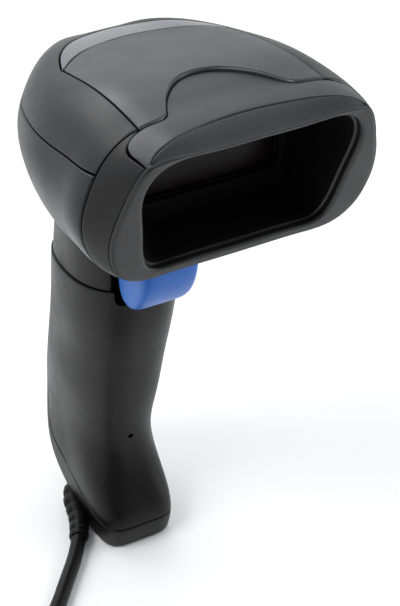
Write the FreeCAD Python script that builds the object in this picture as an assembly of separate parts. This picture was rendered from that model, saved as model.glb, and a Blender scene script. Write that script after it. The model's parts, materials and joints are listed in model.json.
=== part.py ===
import FreeCAD, Part
import math
import os

# Handheld barcode scanner, millimetres.  X is to the scanner's left-right, -Y is the way the
# reading window faces, +Z is up.  The scanner stands on the flat under the toe of its grip and the
# origin is the middle of that flat.  X = 0 is the plane of symmetry of everything but the cord.

V = FreeCAD.Vector

# ---- driving dimensions ------------------------------------------------------------------------
GAP = 0.35                  # parting line between two outer mouldings
BEZEL_DEPTH = 0.6           # thickness of the face ring at its outer edge
FLANGE_DEPTH = 2.4          # and of the flange of it that fits inside the nose band
SKIN = 2.4                  # wall of the outer mouldings
LAYER = 1.3                 # depth of the recess that the top inlays sit in

# head: one smooth body from the slanted reading face to the rounded rear
FACE_Z = 165.0              # height at which the reading face stands at FACE_Y
FACE_Y = -68.4
FACE_SLOPE = 0.315          # the face runs back towards its lower edge
BAND_Y = -56.0              # where the nose band ends and the two head shells begin
NOSE_BULGE = 1.01           # how much the band's sides bow out halfway along it
HEAD_LENGTH = 72.5          # from the nose band to the rear end
HEAD_HALF_WIDTH = 36.8
WIDEST_Z = 147.0            # height of the widest line at the band, and its fall to the rear
WIDEST_DROP = 4.0
SEAM_Z = 159.0              # parting line of the two head shells at the band, and its slope
SEAM_SLOPE = -0.18

# outline of the reading face, half of it from top centre to bottom centre, as (x, z)
FACE_OUTER = [(0, 168.4), (12, 168.4), (21.5, 168.0), (26, 165.8), (28.4, 162), (30.2, 156.5),
              (31.6, 150.5), (32.3, 145.3), (31.8, 140), (29.6, 134), (25.5, 130.4), (17, 129.6),
              (0, 129.6)]
# the opening in that face
FACE_INNER = [(0, 165.1), (11, 165.1), (19.5, 165), (23, 163.5), (25.1, 161), (26.3, 157),
              (26.1, 152), (25.3, 147.5), (24.4, 141.5), (23.2, 136), (21.2, 132.8), (15, 132),
              (0, 132)]
# head section as fractions of half width and of height above or below the widest line
UPPER_FORM = [(0, 1), (0.34, 1), (0.60, 0.985), (0.76, 0.86), (0.88, 0.62), (0.955, 0.34),
              (0.995, 0.08)]
LOWER_FORM_FRONT = [(0.995, -0.14), (0.955, -0.42), (0.86, -0.72), (0.70, -0.93), (0.48, -1),
                    (0, -1)]
LOWER_FORM_REAR = [(0.985, -0.12), (0.91, -0.34), (0.77, -0.58), (0.58, -0.80), (0.34, -0.96),
                   (0, -1)]
# top and bottom of the head along its length, as (y, top z, bottom z)
HEAD_STATIONS = [(BAND_Y, 167.8, 129.5), (-45, 167.4, 124.5), (-32, 165.6, 117.5),
                 (-18, 162.3, 110), (-5, 159.4, 107), (4, 157, 109), (10, 154.3, 114),
                 (14, 151, 121), (16, 147.6, 130)]

# neck and grip: level sections as (z, middle y, half width, half depth, squareness)
GRIP_SECTIONS = [(126, -1, 17.5, 15.5, 2.2), (114, 0.5, 16.4, 16, 2.2), (104, 2.9, 15.5, 17, 2.3),
                 (92, 5.5, 15, 18, 2.3), (76, 8.6, 14.2, 18.6, 2.3), (60, 13, 13.4, 18.9, 2.3),
                 (45, 17.1, 12.5, 19.6, 2.3), (32, 20.1, 10.8, 20, 2.6), (20, 18, 11, 20.8, 3.4),
                 (10, 13.8, 11, 21.1, 4.6), (0, 12.8, 10.2, 18.3, 5)]
COLLAR_Z = 92.0             # where the neck of the lower shell ends and the grip begins
COLLAR_STEP = 0.5           # the grip is this much fatter than the neck
FOOT_HALF_DEPTH = 6.0       # flat under the toe, which the scanner stands on
# underside of the grip behind that flat, rising to the rear, as (y, z)
UNDERSIDE = [(FOOT_HALF_DEPTH, 0), (14.5, 3.4), (24.5, 8.8), (32, 14.5), (37, 21.5), (40.5, 31)]
# parting line of the two grip mouldings, seen from the side
GRIP_SEAM = [(18.5, 95), (22, 76), (25.5, 60), (29, 45), (31.5, 34), (32, 26), (28, 18.8),
             (21.8, 16.6), (15.9, 14.4), (8.3, 11), (2, 8.7), (-4, 8), (-12, 7.8)]

# window and reading engine, behind the hood
HOOD_REAR_Y = -44.0
HOOD_CENTRE_Z = 149.0
HOOD_WALL = 1.4
WINDOW_HALF = (20.3, 11.3)  # half width and half height
VIEW_HALF = (18.5, 9.5)     # clear opening in front of the window
ENGINE_Y = (-34.0, -14.0)
ENGINE_Z = (137.4, 156.0)
ENGINE_HALF_WIDTH = 11.0
LENS_Z = 148.0
BARREL_R = 5.0
BOARD_Z = 131.5             # underside of the main board
BOARD_THICK = 1.6
BOARD_POSTS = [(16, -30.5), (-16, -30.5), (16, -7.5), (-16, -7.5)]
BRACKET_POSTS = [(17, -37), (-17, -37)]
PILOT_R = 0.85              # hole for a small screw, whose shank is SHANK_R
SHANK_R = 0.8

# trigger
PIVOT_Y = -15.0
PIVOT_Z = 115.0
PIN_R = 1.2
PIN_BORE_R = 1.25
TRIGGER_HALF_WIDTH = 7.9
SLOT_HALF_WIDTH = 8.4
EAR_X = (9.2, 10.8)
SPRING_R = 2.1
SPRING_WIRE_R = 0.3
SWITCH_Z = 98.0
PLUNGER_Y = -2.2            # tip of the switch plunger at rest
PLUNGER_PROUD = 1.75        # how far it stands out of the switch at rest
PRESS_GAP = 0.25            # free travel before the trigger meets the plunger
TRIGGER_PROFILE = [(-26.5, 116.5), (-27.4, 110), (-26.8, 103.5), (-24.6, 97.4), (-21.2, 92.8),
                   (-17.4, 90.3), (-13.6, 90.6), (-11.6, 93.5), (-10.8, 99), (-10, 106),
                   (-9.8, 113), (-12, 117), (-19, 118)]

# interface board in the grip, and the socket that the cord plugs into
LINK_Y = (4.0, 5.6)
LINK_Z = (38.0, 56.0, 118.0)  # lower end, end of its narrow tail, upper end
LINK_HALF_WIDTH = (5.2, 7.6)  # of the tail and of the board above it
LINK_POSTS = [(5.2, 73), (-5.2, 73)]
COVER_SCREWS_Z = (84.0, 62.0)
SCREW_SEAT = 3.4            # how deep the cover screws' heads sit below the rear of the grip
EXIT_Y = 20.0               # the plug sits over the rising underside
PLUG_Z = (22.0, 42.0)
PLUG_HALF = (5.8, 3.8)      # half width and half depth
RELEASE_Z = 34.4            # height of the pinhole that frees the plug's latch
RELEASE_R = 0.8
LATCH_Z = 41.0              # where the plug's latch bends

# cord: it comes out under the left rear edge of the foot and runs over the table
CORD_R = 2.15
RELIEF_R = 3.1
RELIEF_ROUTE = [(0, EXIT_Y, PLUG_Z[0]), (-0.6, 20.6, 15.5), (-2.6, 21.6, 8.6), (-7.4, 20.8, 4.2),
                (-11, 16, 3.2), (-13, 8.6, 3.2), (-15, 3.5, 3.2)]
RELIEF_END = (-16.8, -0.1, 3.2)
CORD_ROUTE = [RELIEF_END, (-20.4, -5.6, 2.5), (-26.6, -12.9, 2.2), (-32.7, -20.6, 2.2),
              (-41.2, -29.3, 2.2), (-51.2, -39.3, 2.3), (-64.4, -51.8, 3.1)]
COIL_CENTRE = (-39.7, -76.0)
COIL_R = (17.2, 34.4)       # innermost and outermost turns, at the middle of the cord
COIL_Z = (3.1, 7.4)         # two layers of turns
TIE_THICK = 0.9
TIE_HALF_WIDTH = 4.5
TIE_TURN = 200.0
END_ROUTE = [(-39.7, -110.4, 7.4), (-31.5, -110.9, 6.7), (-22.5, -110.3, 4.9),
             (-14.0, -109.5, 4.1)]
USB_Y = -109.5
USB_Z = 4.1


def line_face(points):
    """Flat face inside straight lines through the points."""
    return Part.Face(Part.makePolygon(points + [points[0]]))


def smooth_face(points):
    """Flat face inside one closed smooth curve through the points."""
    curve = Part.BSplineCurve()
    curve.interpolate(Points=points, PeriodicFlag=True)
    return Part.Face(Part.Wire(curve.toShape()))


def mixed_face(smooth, straight):
    """Flat face bounded by a smooth curve and, back from its end, straight lines."""
    curve = Part.BSplineCurve()
    curve.interpolate(Points=smooth)
    corners = [smooth[-1]] + straight + [smooth[0]]
    edges = [curve.toShape()]
    for first, second in zip(corners, corners[1:]):
        edges.append(Part.LineSegment(first, second).toShape())
    return Part.Face(Part.Wire(edges))


def slab_x(face, half_width, middle=0.0):
    """Extrude a face lying in X = 0 to both sides."""
    moved = face.translated(V(middle - half_width, 0, 0))
    return moved.extrude(V(2 * half_width, 0, 0))


def slab_z(face, low, high):
    """Extrude a face lying in Z = 0 between two heights."""
    return face.translated(V(0, 0, low)).extrude(V(0, 0, high - low))


def block(x0, x1, y0, y1, z0, z1):
    return Part.makeBox(x1 - x0, y1 - y0, z1 - z0, V(x0, y0, z0))


def round_block(x0, x1, y0, y1, z0, z1, radius, axis=V(0, 0, 1)):
    """Block with its edges along one axis rounded."""
    shape = block(x0, x1, y0, y1, z0, z1)
    edges = []
    for edge in shape.Edges:
        way = edge.Vertexes[1].Point - edge.Vertexes[0].Point
        if abs(way.normalize().dot(axis)) > 0.99:
            edges.append(edge)
    return shape.makeFillet(radius, edges)


def rod(start, end, radius):
    way = end - start
    return Part.makeCylinder(radius, way.Length, start, way)


def cone(start, end, first, last):
    way = end - start
    return Part.makeCone(first, last, way.Length, start, way)


def group(shapes):
    return Part.makeCompound(shapes)


def fuse(shapes):
    whole = shapes[0]
    for shape in shapes[1:]:
        whole = whole.fuse(shape)
    return whole


def largest(shape):
    """The biggest solid of a cut, which drops slivers left at a parting line."""
    return max(shape.Solids, key=lambda solid: solid.Volume)


def save(name, shape):
    solids = shape.Solids
    if not solids or not all(solid.isValid() for solid in solids):
        raise RuntimeError("bad solid in " + name)
    shape.exportStep("parts/" + name + ".step")
    size = shape.BoundBox
    print("%-20s %3d solids %10.1f mm3  x %7.1f %7.1f  y %7.1f %7.1f  z %7.1f %7.1f"
          % (name, len(solids), shape.Volume, size.XMin, size.XMax, size.YMin, size.YMax,
             size.ZMin, size.ZMax))


# ---- head --------------------------------------------------------------------------------------
def face_y(z, behind=0.0):
    return FACE_Y + (FACE_Z - z) * FACE_SLOPE + behind


def ring_wire(half):
    """Closed smooth outline from its right half, given from top centre to bottom centre."""
    left = [V(-p.x, p.y, p.z) for p in reversed(half[1:-1])]
    curve = Part.BSplineCurve()
    curve.interpolate(Points=half + left, PeriodicFlag=True)
    return Part.Wire(curve.toShape())


def shrink(x, z, inset, middle_z):
    """Move an outline point inwards by about the inset."""
    reach = math.hypot(x, z - middle_z)
    factor = (reach - inset) / reach
    return x * factor, middle_z + (z - middle_z) * factor


def head_half_section(y, top, bottom, inset):
    share = (y - BAND_Y) / HEAD_LENGTH
    half_width = HEAD_HALF_WIDTH * (1 - share ** 3) ** 0.55 - inset
    middle = WIDEST_Z - WIDEST_DROP * share ** 2
    blend = min(1.0, 1.8 * share)
    placed_y = y - inset * share ** 2
    points = []
    for fx, fz in UPPER_FORM:
        points.append(V(fx * half_width, placed_y, middle + fz * (top - inset - middle)))
    for front, rear in zip(LOWER_FORM_FRONT, LOWER_FORM_REAR):
        fx = front[0] + blend * (rear[0] - front[0])
        fz = front[1] + blend * (rear[1] - front[1])
        points.append(V(fx * half_width, placed_y, middle + fz * (middle - bottom - inset)))
    return points


def face_half_section(outline, inset, behind):
    points = []
    for x, z in outline:
        sx, sz = shrink(x, z, inset, WIDEST_Z)
        points.append(V(sx, face_y(sz, behind), sz))
    return points


def nose_body(inset, behind):
    """Solid from the reading face back to the two head shells, moved in by the inset."""
    front = face_half_section(FACE_OUTER, inset, behind)
    rear = head_half_section(*HEAD_STATIONS[0], inset)
    middle = []
    for a, b in zip(front, rear):
        point = (a + b) * 0.5
        middle.append(V(point.x * NOSE_BULGE, point.y, point.z))
    return Part.makeLoft([ring_wire(front), ring_wire(middle), ring_wire(rear)], True, False)


def head_body(inset):
    """Solid of the head behind the nose band, every wall moved in by the inset."""
    rings = [ring_wire(head_half_section(*row, inset)) for row in HEAD_STATIONS]
    return Part.makeLoft(rings, True, False)


def face_slab(behind):
    """Everything in front of the reading face moved back by a distance."""
    profile = [V(0, face_y(100, behind), 100), V(0, face_y(190, behind), 190), V(0, -110, 190),
               V(0, -110, 100)]
    return slab_x(line_face(profile), 60)


def visor_region(grow):
    """Plan of the bezel's top, whose rear edge is bowed."""
    curve = [V(-24.5, -66.6 + grow, 0), V(-12, -62.3 + grow, 0), V(0, -61 + grow, 0),
             V(12, -62.3 + grow, 0), V(24.5, -66.6 + grow, 0)]
    return slab_z(mixed_face(curve, [V(24.5, -100, 0), V(-24.5, -100, 0)]), 160, 185)


def panel_region(grow):
    """Plan of the front top panel: the crest at its rear, rounded lobes at its ends."""
    crest = [(22.6, -56.3), (19.3, -55.9), (16, -55), (13.8, -51.6), (11.5, -47), (8.5, -42.9),
             (4.2, -39.3)]
    right = [V(x + 0.6 * grow, y + grow, 0) for x, y in crest]
    rear = right + [V(0, -38.3 + grow, 0)] + [V(-p.x, p.y, 0) for p in reversed(right)]
    lobe = [V(-26.6 - grow, -58.5, 0), V(-27.3 - grow, -62, 0), V(-24.6, -100, 0)]
    front = lobe + [V(-p.x, p.y, 0) for p in reversed(lobe)]
    return slab_z(mixed_face(rear, front), 155, 185)


def plate_region(grow):
    rear = [V(21.3 + grow, -15.3, 0), V(14, -8.5 + grow, 0), V(0, -4.2 + grow, 0),
            V(-14, -8.5 + grow, 0), V(-21.3 - grow, -15.3, 0)]
    front = [V(-22.7 - grow, -60, 0), V(22.7 + grow, -60, 0)]
    return slab_z(mixed_face(rear, front), 140, 185)


def crescent_region(grow):
    rear = [V(21.5 + grow, -15.3, 0), V(18.8 + grow, -8, 0), V(10.5, 2.2 + grow, 0),
            V(0, 5.6 + grow, 0), V(-10.5, 2.2 + grow, 0), V(-18.8 - grow, -8, 0),
            V(-21.5 - grow, -15.3, 0)]
    front = [V(-21.5 - grow, -30, 0), V(21.5 + grow, -30, 0)]
    return slab_z(mixed_face(rear, front), 140, 185)


def seam_z(y):
    return SEAM_Z + SEAM_SLOPE * (y - BAND_Y)


def above_seam(offset):
    profile = [V(0, -90, seam_z(-90) + offset), V(0, 40, seam_z(40) + offset), V(0, 40, 200),
               V(0, -90, 200)]
    return slab_x(line_face(profile), 60)


def in_front_of(y):
    return block(-60, 60, -110, y, 90, 190)


def funnel(front_scale, rear_scale, behind, rear_y):
    """Tapered space with the outline of the opening, from the face to a level rear end."""
    front = []
    rear = []
    for x, z in FACE_INNER:
        above = z - HOOD_CENTRE_Z
        fz = HOOD_CENTRE_Z + above * front_scale
        front.append(V(x * front_scale, face_y(fz, behind), fz))
        rear.append(V(x * rear_scale, rear_y, HOOD_CENTRE_Z + above * rear_scale))
    return Part.makeLoft([ring_wire(front), ring_wire(rear)], True, False)


# ---- neck and grip -----------------------------------------------------------------------------
def grip_section(z, middle, half_width, half_depth, square, inset):
    """Level section whose half outline runs from its rear round the right to its front."""
    points = []
    count = 12
    for i in range(count + 1):
        turn = math.pi * i / count
        side = math.sin(turn) ** (2 / square) * (half_width - inset)
        along = math.copysign(abs(math.cos(turn)) ** (2 / square), math.cos(turn))
        points.append(V(side, middle + along * (half_depth - inset), z))
    points[-1].x = 0.0
    return ring_wire(points)


def grip_body(inset):
    return Part.makeLoft([grip_section(*row, inset) for row in GRIP_SECTIONS], True, False)


def above_underside(offset):
    """Everything over the foot's flat and the rising underside."""
    curve = [V(0, y, z + offset) for y, z in UNDERSIDE]
    outer = [V(0, 60, UNDERSIDE[-1][1] + offset), V(0, 60, 200), V(0, -60, 200),
             V(0, -60, offset)]
    return slab_x(mixed_face(curve, outer), 60)


def behind_grip_seam(offset):
    """The rear moulding's side of the grip's parting line, with the rim under the toe."""
    curve = [V(0, y + offset, z - offset) for y, z in GRIP_SEAM]
    outer = [V(0, -30, GRIP_SEAM[-1][1] - offset), V(0, -30, -20), V(0, 70, -20), V(0, 70, 95)]
    return slab_x(mixed_face(curve, outer), 60)


def trigger_slot():
    return block(-SLOT_HALF_WIDTH, SLOT_HALF_WIDTH, -28.2, -6.4, 87.4, 122)


# ---- cord --------------------------------------------------------------------------------------
def cord_tube(points, radius):
    """Round tube along straight runs that tangent arcs join."""
    points = [V(*point) for point in points]
    runs = [(b - a).Length for a, b in zip(points, points[1:])]
    edges = []
    start = points[0]
    length = 0.0
    radii = []
    for i in range(1, len(points) - 1):
        back = (points[i - 1] - points[i]).normalize()
        on = (points[i + 1] - points[i]).normalize()
        turn = math.pi - back.getAngle(on)
        reach = 0.45 * min(runs[i - 1], runs[i])
        bend = reach / math.tan(turn / 2)
        radii.append(bend)
        first = points[i] + back * reach
        last = points[i] + on * reach
        inward = (back + on).normalize()
        middle = points[i] + inward * (bend / math.cos(turn / 2) - bend)
        edges.append(Part.LineSegment(start, first).toShape())
        edges.append(Part.Arc(first, middle, last).toShape())
        length += (first - start).Length + bend * turn
        start = last
    edges.append(Part.LineSegment(start, points[-1]).toShape())
    length += (points[-1] - start).Length
    path = Part.Wire(edges)
    ring = Part.Wire(Part.makeCircle(radius, points[0], points[1] - points[0]))
    solid = path.makePipeShell([ring], True, False)
    print("cord tube length %.1f, radii %s" % (length, " ".join("%.1f" % r for r in radii)))
    print("volume %.1f, section times length %.1f" % (solid.Volume, length * math.pi * radius ** 2))
    return solid


def outer_mouldings():
    """The nine mouldings that make the outside, without the trigger."""
    nose = nose_body(0.0, 0.0)
    head = head_body(0.0)
    head_space = head_body(SKIN)
    floor = head_body(LAYER)
    mouth = funnel(1.06, 0.80, -6.0, HOOD_REAR_Y)

    nose_skin = nose.cut(nose_body(SKIN, BEZEL_DEPTH)).cut(mouth)
    flange = nose_body(SKIN + 0.3, BEZEL_DEPTH - 0.4).common(face_slab(FLANGE_DEPTH)).cut(mouth)
    bezel_space = face_slab(BEZEL_DEPTH).fuse(visor_region(0.0))
    bezel_keep_out = face_slab(BEZEL_DEPTH + GAP).fuse(visor_region(GAP))
    save("front_bezel", largest(nose_skin.common(bezel_space).fuse(flange)))

    nose_floor = nose_body(LAYER, -2.0)
    panel_nose = nose.cut(nose_floor)
    panel_head = head.cut(floor)
    panel = largest(panel_nose.common(panel_region(0.0)).cut(bezel_keep_out))
    panel = panel.fuse(largest(panel_head.common(panel_region(0.0))))
    save("front_top_panel", largest(panel))

    panel_recess = panel_region(GAP).cut(nose_floor)
    save("nose_band", largest(nose_skin.cut(bezel_keep_out).cut(panel_recess)))

    seam_gap = in_front_of(BAND_Y + GAP)
    head_skin = head.cut(head_space).cut(seam_gap)
    upper = largest(head_skin.common(above_seam(GAP / 2)))
    for region in (plate_region(GAP), crescent_region(GAP), panel_region(GAP)):
        upper = largest(upper.cut(region.cut(floor)))
    upper = largest(upper.cut(light_column(0.3)))
    save("upper_shell", fuse([upper, clips(0.0, upper=True)]))

    inlay = head.cut(floor).cut(in_front_of(BAND_Y + 0.1))
    save("top_plate", largest(inlay.common(plate_region(0.0)).cut(panel_region(GAP))))
    save("status_lens", largest(inlay.common(crescent_region(0.0)).cut(plate_region(GAP))))
    save("light_guide", largest(light_column(0.0).common(floor)))

    low_head = head.cut(above_seam(-GAP / 2)).cut(seam_gap)
    neck = grip_body(0.0).common(block(-40, 40, -40, 50, COLLAR_Z, 126))
    lower = low_head.fuse(neck).cut(head_space).cut(grip_body(SKIN)).cut(trigger_slot())
    lower = largest(lower.cut(clips(0.2, upper=False)))
    lower = fuse([lower] + shell_posts(head_body(1.2)))
    for x, y in BOARD_POSTS:
        lower = lower.cut(rod(V(x, y, BOARD_Z - 7), V(x, y, BOARD_Z + 1), PILOT_R))
    for x, y in BRACKET_POSTS:
        lower = lower.cut(rod(V(x, y, 128), V(x, y, 140), PILOT_R))
    for side in (-1, 1):
        lower = lower.cut(rod(V(13.4 * side, -14, 115.5), V(13.4 * side, -14, 121), PILOT_R))
    save("lower_shell", largest(lower))
    save("product_label", label(head))
    return nose_skin.fuse(flange), head_skin, mouth


def clips(grow, upper):
    """Curved tongues of the upper shell that snap into recesses in the lower one."""
    ring = head_body(1.9 - grow).cut(head_body(3.3 + grow))
    pieces = []
    for side in (-1, 1):
        for y in (-40, -19):
            x = sorted((side * 20, side * 45))
            tongue = ring.common(block(x[0], x[1], y - 4 - grow, y + 4 + grow, 138, 175))
            low = seam_z(y) - 5 - grow
            tongue = tongue.common(block(-60, 60, -60, 20, low, seam_z(y) + 2.5))
            pieces.append(largest(tongue))
    return group(pieces)


def light_column(grow):
    return block(-4 - grow, 4 + grow, -3 - grow, 1.5 + grow, 136, 175)


def shell_posts(limit):
    """Posts of the lower shell, cut off where they reach its outer skin."""
    posts = []
    for x, y in BOARD_POSTS:
        posts.append(rod(V(x, y, 100), V(x, y, BOARD_Z), 2.6).common(limit))
    for x, y in BRACKET_POSTS:
        posts.append(rod(V(x, y, 100), V(x, y, 135.2), 2.6).common(limit))
    for side in (-1, 1):
        post = rod(V(13.4 * side, -14, 100), V(13.4 * side, -14, 119.6), 2.3)
        posts.append(post.common(limit))
    return [largest(post) for post in posts]


def label(head):
    """Blank label on the lower left of the head."""
    corners = [V(-27, -11.4, 130.3), V(-22, -21.7, 124.3), V(-19, -15, 114.3), V(-22, -9, 119.7)]
    outward = V(-0.877, -0.163, -0.45)
    quad = [corner - outward * 9 for corner in corners[:3]]
    flat = quad + [quad[0] + (quad[2] - quad[1])]
    window = line_face(flat).extrude(outward * 18)
    return largest(head_body(-0.3).cut(head).common(window))


def grip_mouldings():
    """Front and rear mouldings of the grip, with the bosses that their screws pass through."""
    fat = grip_body(-COLLAR_STEP)
    grip = fat.common(above_underside(0.0)).common(block(-40, 40, -40, 60, 0, COLLAR_Z - GAP))
    skin = grip.cut(grip_body(SKIN).common(above_underside(SKIN)))
    limit = grip_body(0.9)
    for z in COVER_SCREWS_Z:
        skin = skin.fuse(rod(V(0, -20, z), V(0, 45, z), 3.8).common(limit))
    skin = skin.cut(trigger_slot())
    skin = skin.cut(cord_channel())
    skin = skin.cut(round_block(-6.6, 6.6, EXIT_Y - 6.6, EXIT_Y + 9.5, -5, 20, 2.0))
    for z in COVER_SCREWS_Z:
        skin = skin.cut(rod(V(0, 3, z), V(0, 30, z), 1.25))
        skin = skin.cut(rod(V(0, head_seat(z), z), V(0, 50, z), 2.9))
    front = largest(skin.cut(behind_grip_seam(-GAP / 2)))
    for x, z in LINK_POSTS:
        front = front.fuse(rod(V(x, -20, z), V(x, LINK_Y[0], z), 2.4).common(limit))
        front = front.cut(rod(V(x, LINK_Y[0] - 6, z), V(x, LINK_Y[0] + 1, z), PILOT_R))
    pinhole = rod(V(0, -20, RELEASE_Z), V(0, 5, RELEASE_Z), RELEASE_R)
    save("grip_front", largest(front.cut(pinhole)))
    save("grip_rear", largest(skin.common(behind_grip_seam(GAP / 2))))


def head_seat(z):
    """Y of the seat of a cover screw's head, below the rear surface of the grip."""
    for upper, lower in zip(GRIP_SECTIONS, GRIP_SECTIONS[1:]):
        if upper[0] >= z > lower[0]:
            share = (upper[0] - z) / (upper[0] - lower[0])
            rear = [row[1] + row[3] for row in (upper, lower)]
            return rear[0] + share * (rear[1] - rear[0]) - SCREW_SEAT
    raise ValueError("no grip at this height")


def cord_channel():
    """Way through the underside for the cord's relief."""
    return cord_tube(RELIEF_ROUTE + [RELIEF_END], RELIEF_R + 0.45)


def hood(nose_skin, head_skin, mouth):
    """Liner behind the bezel, with the window that closes it."""
    wall_y = HOOD_REAR_Y + HOOD_WALL
    wide, high = VIEW_HALF
    z = HOOD_CENTRE_Z
    view = block(-wide, wide, HOOD_REAR_Y - 1, 0, z - high, z + high)
    liner = funnel(1.03, 0.865, FLANGE_DEPTH, wall_y).cut(mouth).cut(view)
    save("hood_liner", largest(liner.cut(nose_skin).cut(head_skin)))
    w, h = WINDOW_HALF
    gasket = block(-w, w, wall_y, wall_y + 0.7, z - h, z + h)
    save("window_gasket", gasket.cut(view))
    save("exit_window", block(-w, w, wall_y + 0.7, wall_y + 2.2, z - h, z + h))


def engine():
    """Reading engine on its bracket, behind the window."""
    y0, y1 = ENGINE_Y
    z0, z1 = ENGINE_Z
    half = ENGINE_HALF_WIDTH
    housing = round_block(-half, half, y0, y1, z0, z1, 1.2)
    spots = [(8, -30), (-8, -30), (8, -18), (-8, -18)]
    for x, y in spots:
        housing = housing.cut(rod(V(x, y, z0 - 1), V(x, y, z0 + 4.5), PILOT_R))
    save("imager_housing", housing)

    front = HOOD_REAR_Y + HOOD_WALL + 2.2
    plate_top = z0
    plate = block(-13, 13, front, y1, plate_top - 1.4, plate_top)
    tabs = block(-20.5, 20.5, front, -33.6, 135.2, plate_top)
    frame = block(-21, 21, front, front + 1.4, 135.2, 161)
    bracket = fuse([plate, tabs, frame])
    wide, high = VIEW_HALF
    z = HOOD_CENTRE_Z
    bracket = bracket.cut(block(-wide, wide, -60, front + 1.4, z - high, z + high))
    for x, y in spots:
        bracket = bracket.cut(rod(V(x, y, 130), V(x, y, 140), SHANK_R + 0.15))
    for x, y in BRACKET_POSTS:
        bracket = bracket.cut(rod(V(x, y, 130), V(x, y, 140), SHANK_R + 0.15))
    save("engine_bracket", bracket)
    save("engine_screws", group([screw(V(x, y, plate_top - 1.4), V(0, 0, 1), 5.0)
                                 for x, y in spots]))
    save("bracket_screws", group([screw(V(x, y, plate_top), V(0, 0, -1), 7.0)
                                  for x, y in BRACKET_POSTS]))

    centre = V(0, y0, LENS_Z)
    barrel = rod(centre, centre + V(0, -4.4, 0), BARREL_R)
    barrel = barrel.cut(rod(centre + V(0, -2.2, 0), centre + V(0, -5, 0), 3.7))
    save("lens_barrel", barrel)
    dome = Part.makeSphere(9.0, centre + V(0, -3.5 + 8.2, 0))
    lens = rod(centre + V(0, -2.2, 0), centre + V(0, -4.2, 0), 3.65)
    save("imager_lens", largest(lens.common(dome)))

    board = block(-20, 20, y0 - 1.2, y0, LENS_Z - 7, LENS_Z + 7)
    save("illumination_board", board.cut(rod(centre, centre + V(0, -3, 0), BARREL_R + 0.3)))
    lamps = []
    for x in (-15.5, 15.5):
        base = V(x, y0 - 1.2, LENS_Z)
        lamp = rod(base, base + V(0, -1.2, 0), 2.2)
        lamps.append(fuse([lamp, Part.makeSphere(2.0, base + V(0, -1.2, 0))
                           .common(rod(base, base + V(0, -4, 0), 2.2))]))
    save("illumination_leds", group(lamps))
    base = V(8.6, y0 - 1.2, LENS_Z)
    save("aimer", rod(base, base + V(0, -2.6, 0), 1.6))


def screw(seat, way, length):
    """Small pan-head screw whose shank goes along the way from its seat."""
    head = rod(seat, seat - way * 1.4, 1.7)
    slot = block(-2, 2, -0.25, 0.25, -0.25, 0.25)
    slot.Placement = FreeCAD.Placement(seat - way * 1.4, FreeCAD.Rotation(V(0, 0, 1), way))
    return fuse([head, rod(seat, seat + way * length, SHANK_R)]).cut(slot)


def electronics():
    """Main board in the head and everything on it."""
    top = BOARD_Z + BOARD_THICK
    outline = [V(-20, -34, 0), V(20, -34, 0), V(20, -6, 0), V(16, 0, 0), V(-16, 0, 0), V(-20, -6, 0)]
    board = slab_z(line_face(outline), BOARD_Z, top)
    for x, y in BOARD_POSTS:
        board = board.cut(rod(V(x, y, BOARD_Z - 1), V(x, y, top + 1), SHANK_R + 0.15))
    save("main_board", board)
    save("board_screws", group([screw(V(x, y, top), V(0, 0, -1), 7.0) for x, y in BOARD_POSTS]))

    parts = [block(-6, 6, -29, -17, top, top + 1.1), block(10.5, 18, -24, -14, top, top + 1.0),
             block(-18, -10.5, -22, -15, top, top + 0.9), block(-3.5, 6, -11, -8, top, top + 2),
             block(7.5, 15.5, -4.2, -1.6, top, top + 2.2)]
    for x in (9, 11.4, 13.8):
        parts.append(block(x, x + 1.2, -12.4, -10.4, top, top + 0.8))
    save("board_components", group(parts))

    centre = V(-9.5, -5.6, top)
    beeper = rod(centre, centre + V(0, 0, 5), 4.4)
    save("beeper", beeper.cut(rod(centre + V(0, 0, 4), centre + V(0, 0, 6), 0.9)))
    save("status_led", block(-1.6, 1.6, -2.2, 0.0, top, top + 1.2))

    save("engine_ribbon", strip([(-9.5, top + 2), (-9.5, top + 2.6), (-12.6, top + 2.9),
                                 (-13.4, top + 5), (-13.4, LENS_Z + 1), (ENGINE_Y[1], LENS_Z + 1)],
                                -5, 5))
    save("grip_ribbon", strip([(-2, BOARD_Z), (-2, 124), (LINK_Y[0] - 0.3, 117),
                               (LINK_Y[0] - 0.3, 106)], 3, 8.8))


def strip(route, x0, x1):
    """Flat cable 0.3 thick along straight stretches in a plane of constant X."""
    thick = 0.3
    line = []
    for i, (y, z) in enumerate(route):
        before = route[max(i - 1, 0)]
        after = route[min(i + 1, len(route) - 1)]
        way = V(0, after[0] - before[0], after[1] - before[1]).normalize()
        line.append((V(0, y, z), V(0, -way.z, way.y)))
    outer = [point + side * (thick / 2) for point, side in line]
    inner = [point - side * (thick / 2) for point, side in reversed(line)]
    return slab_x(line_face(outer + inner), (x1 - x0) / 2, (x0 + x1) / 2)


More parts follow.
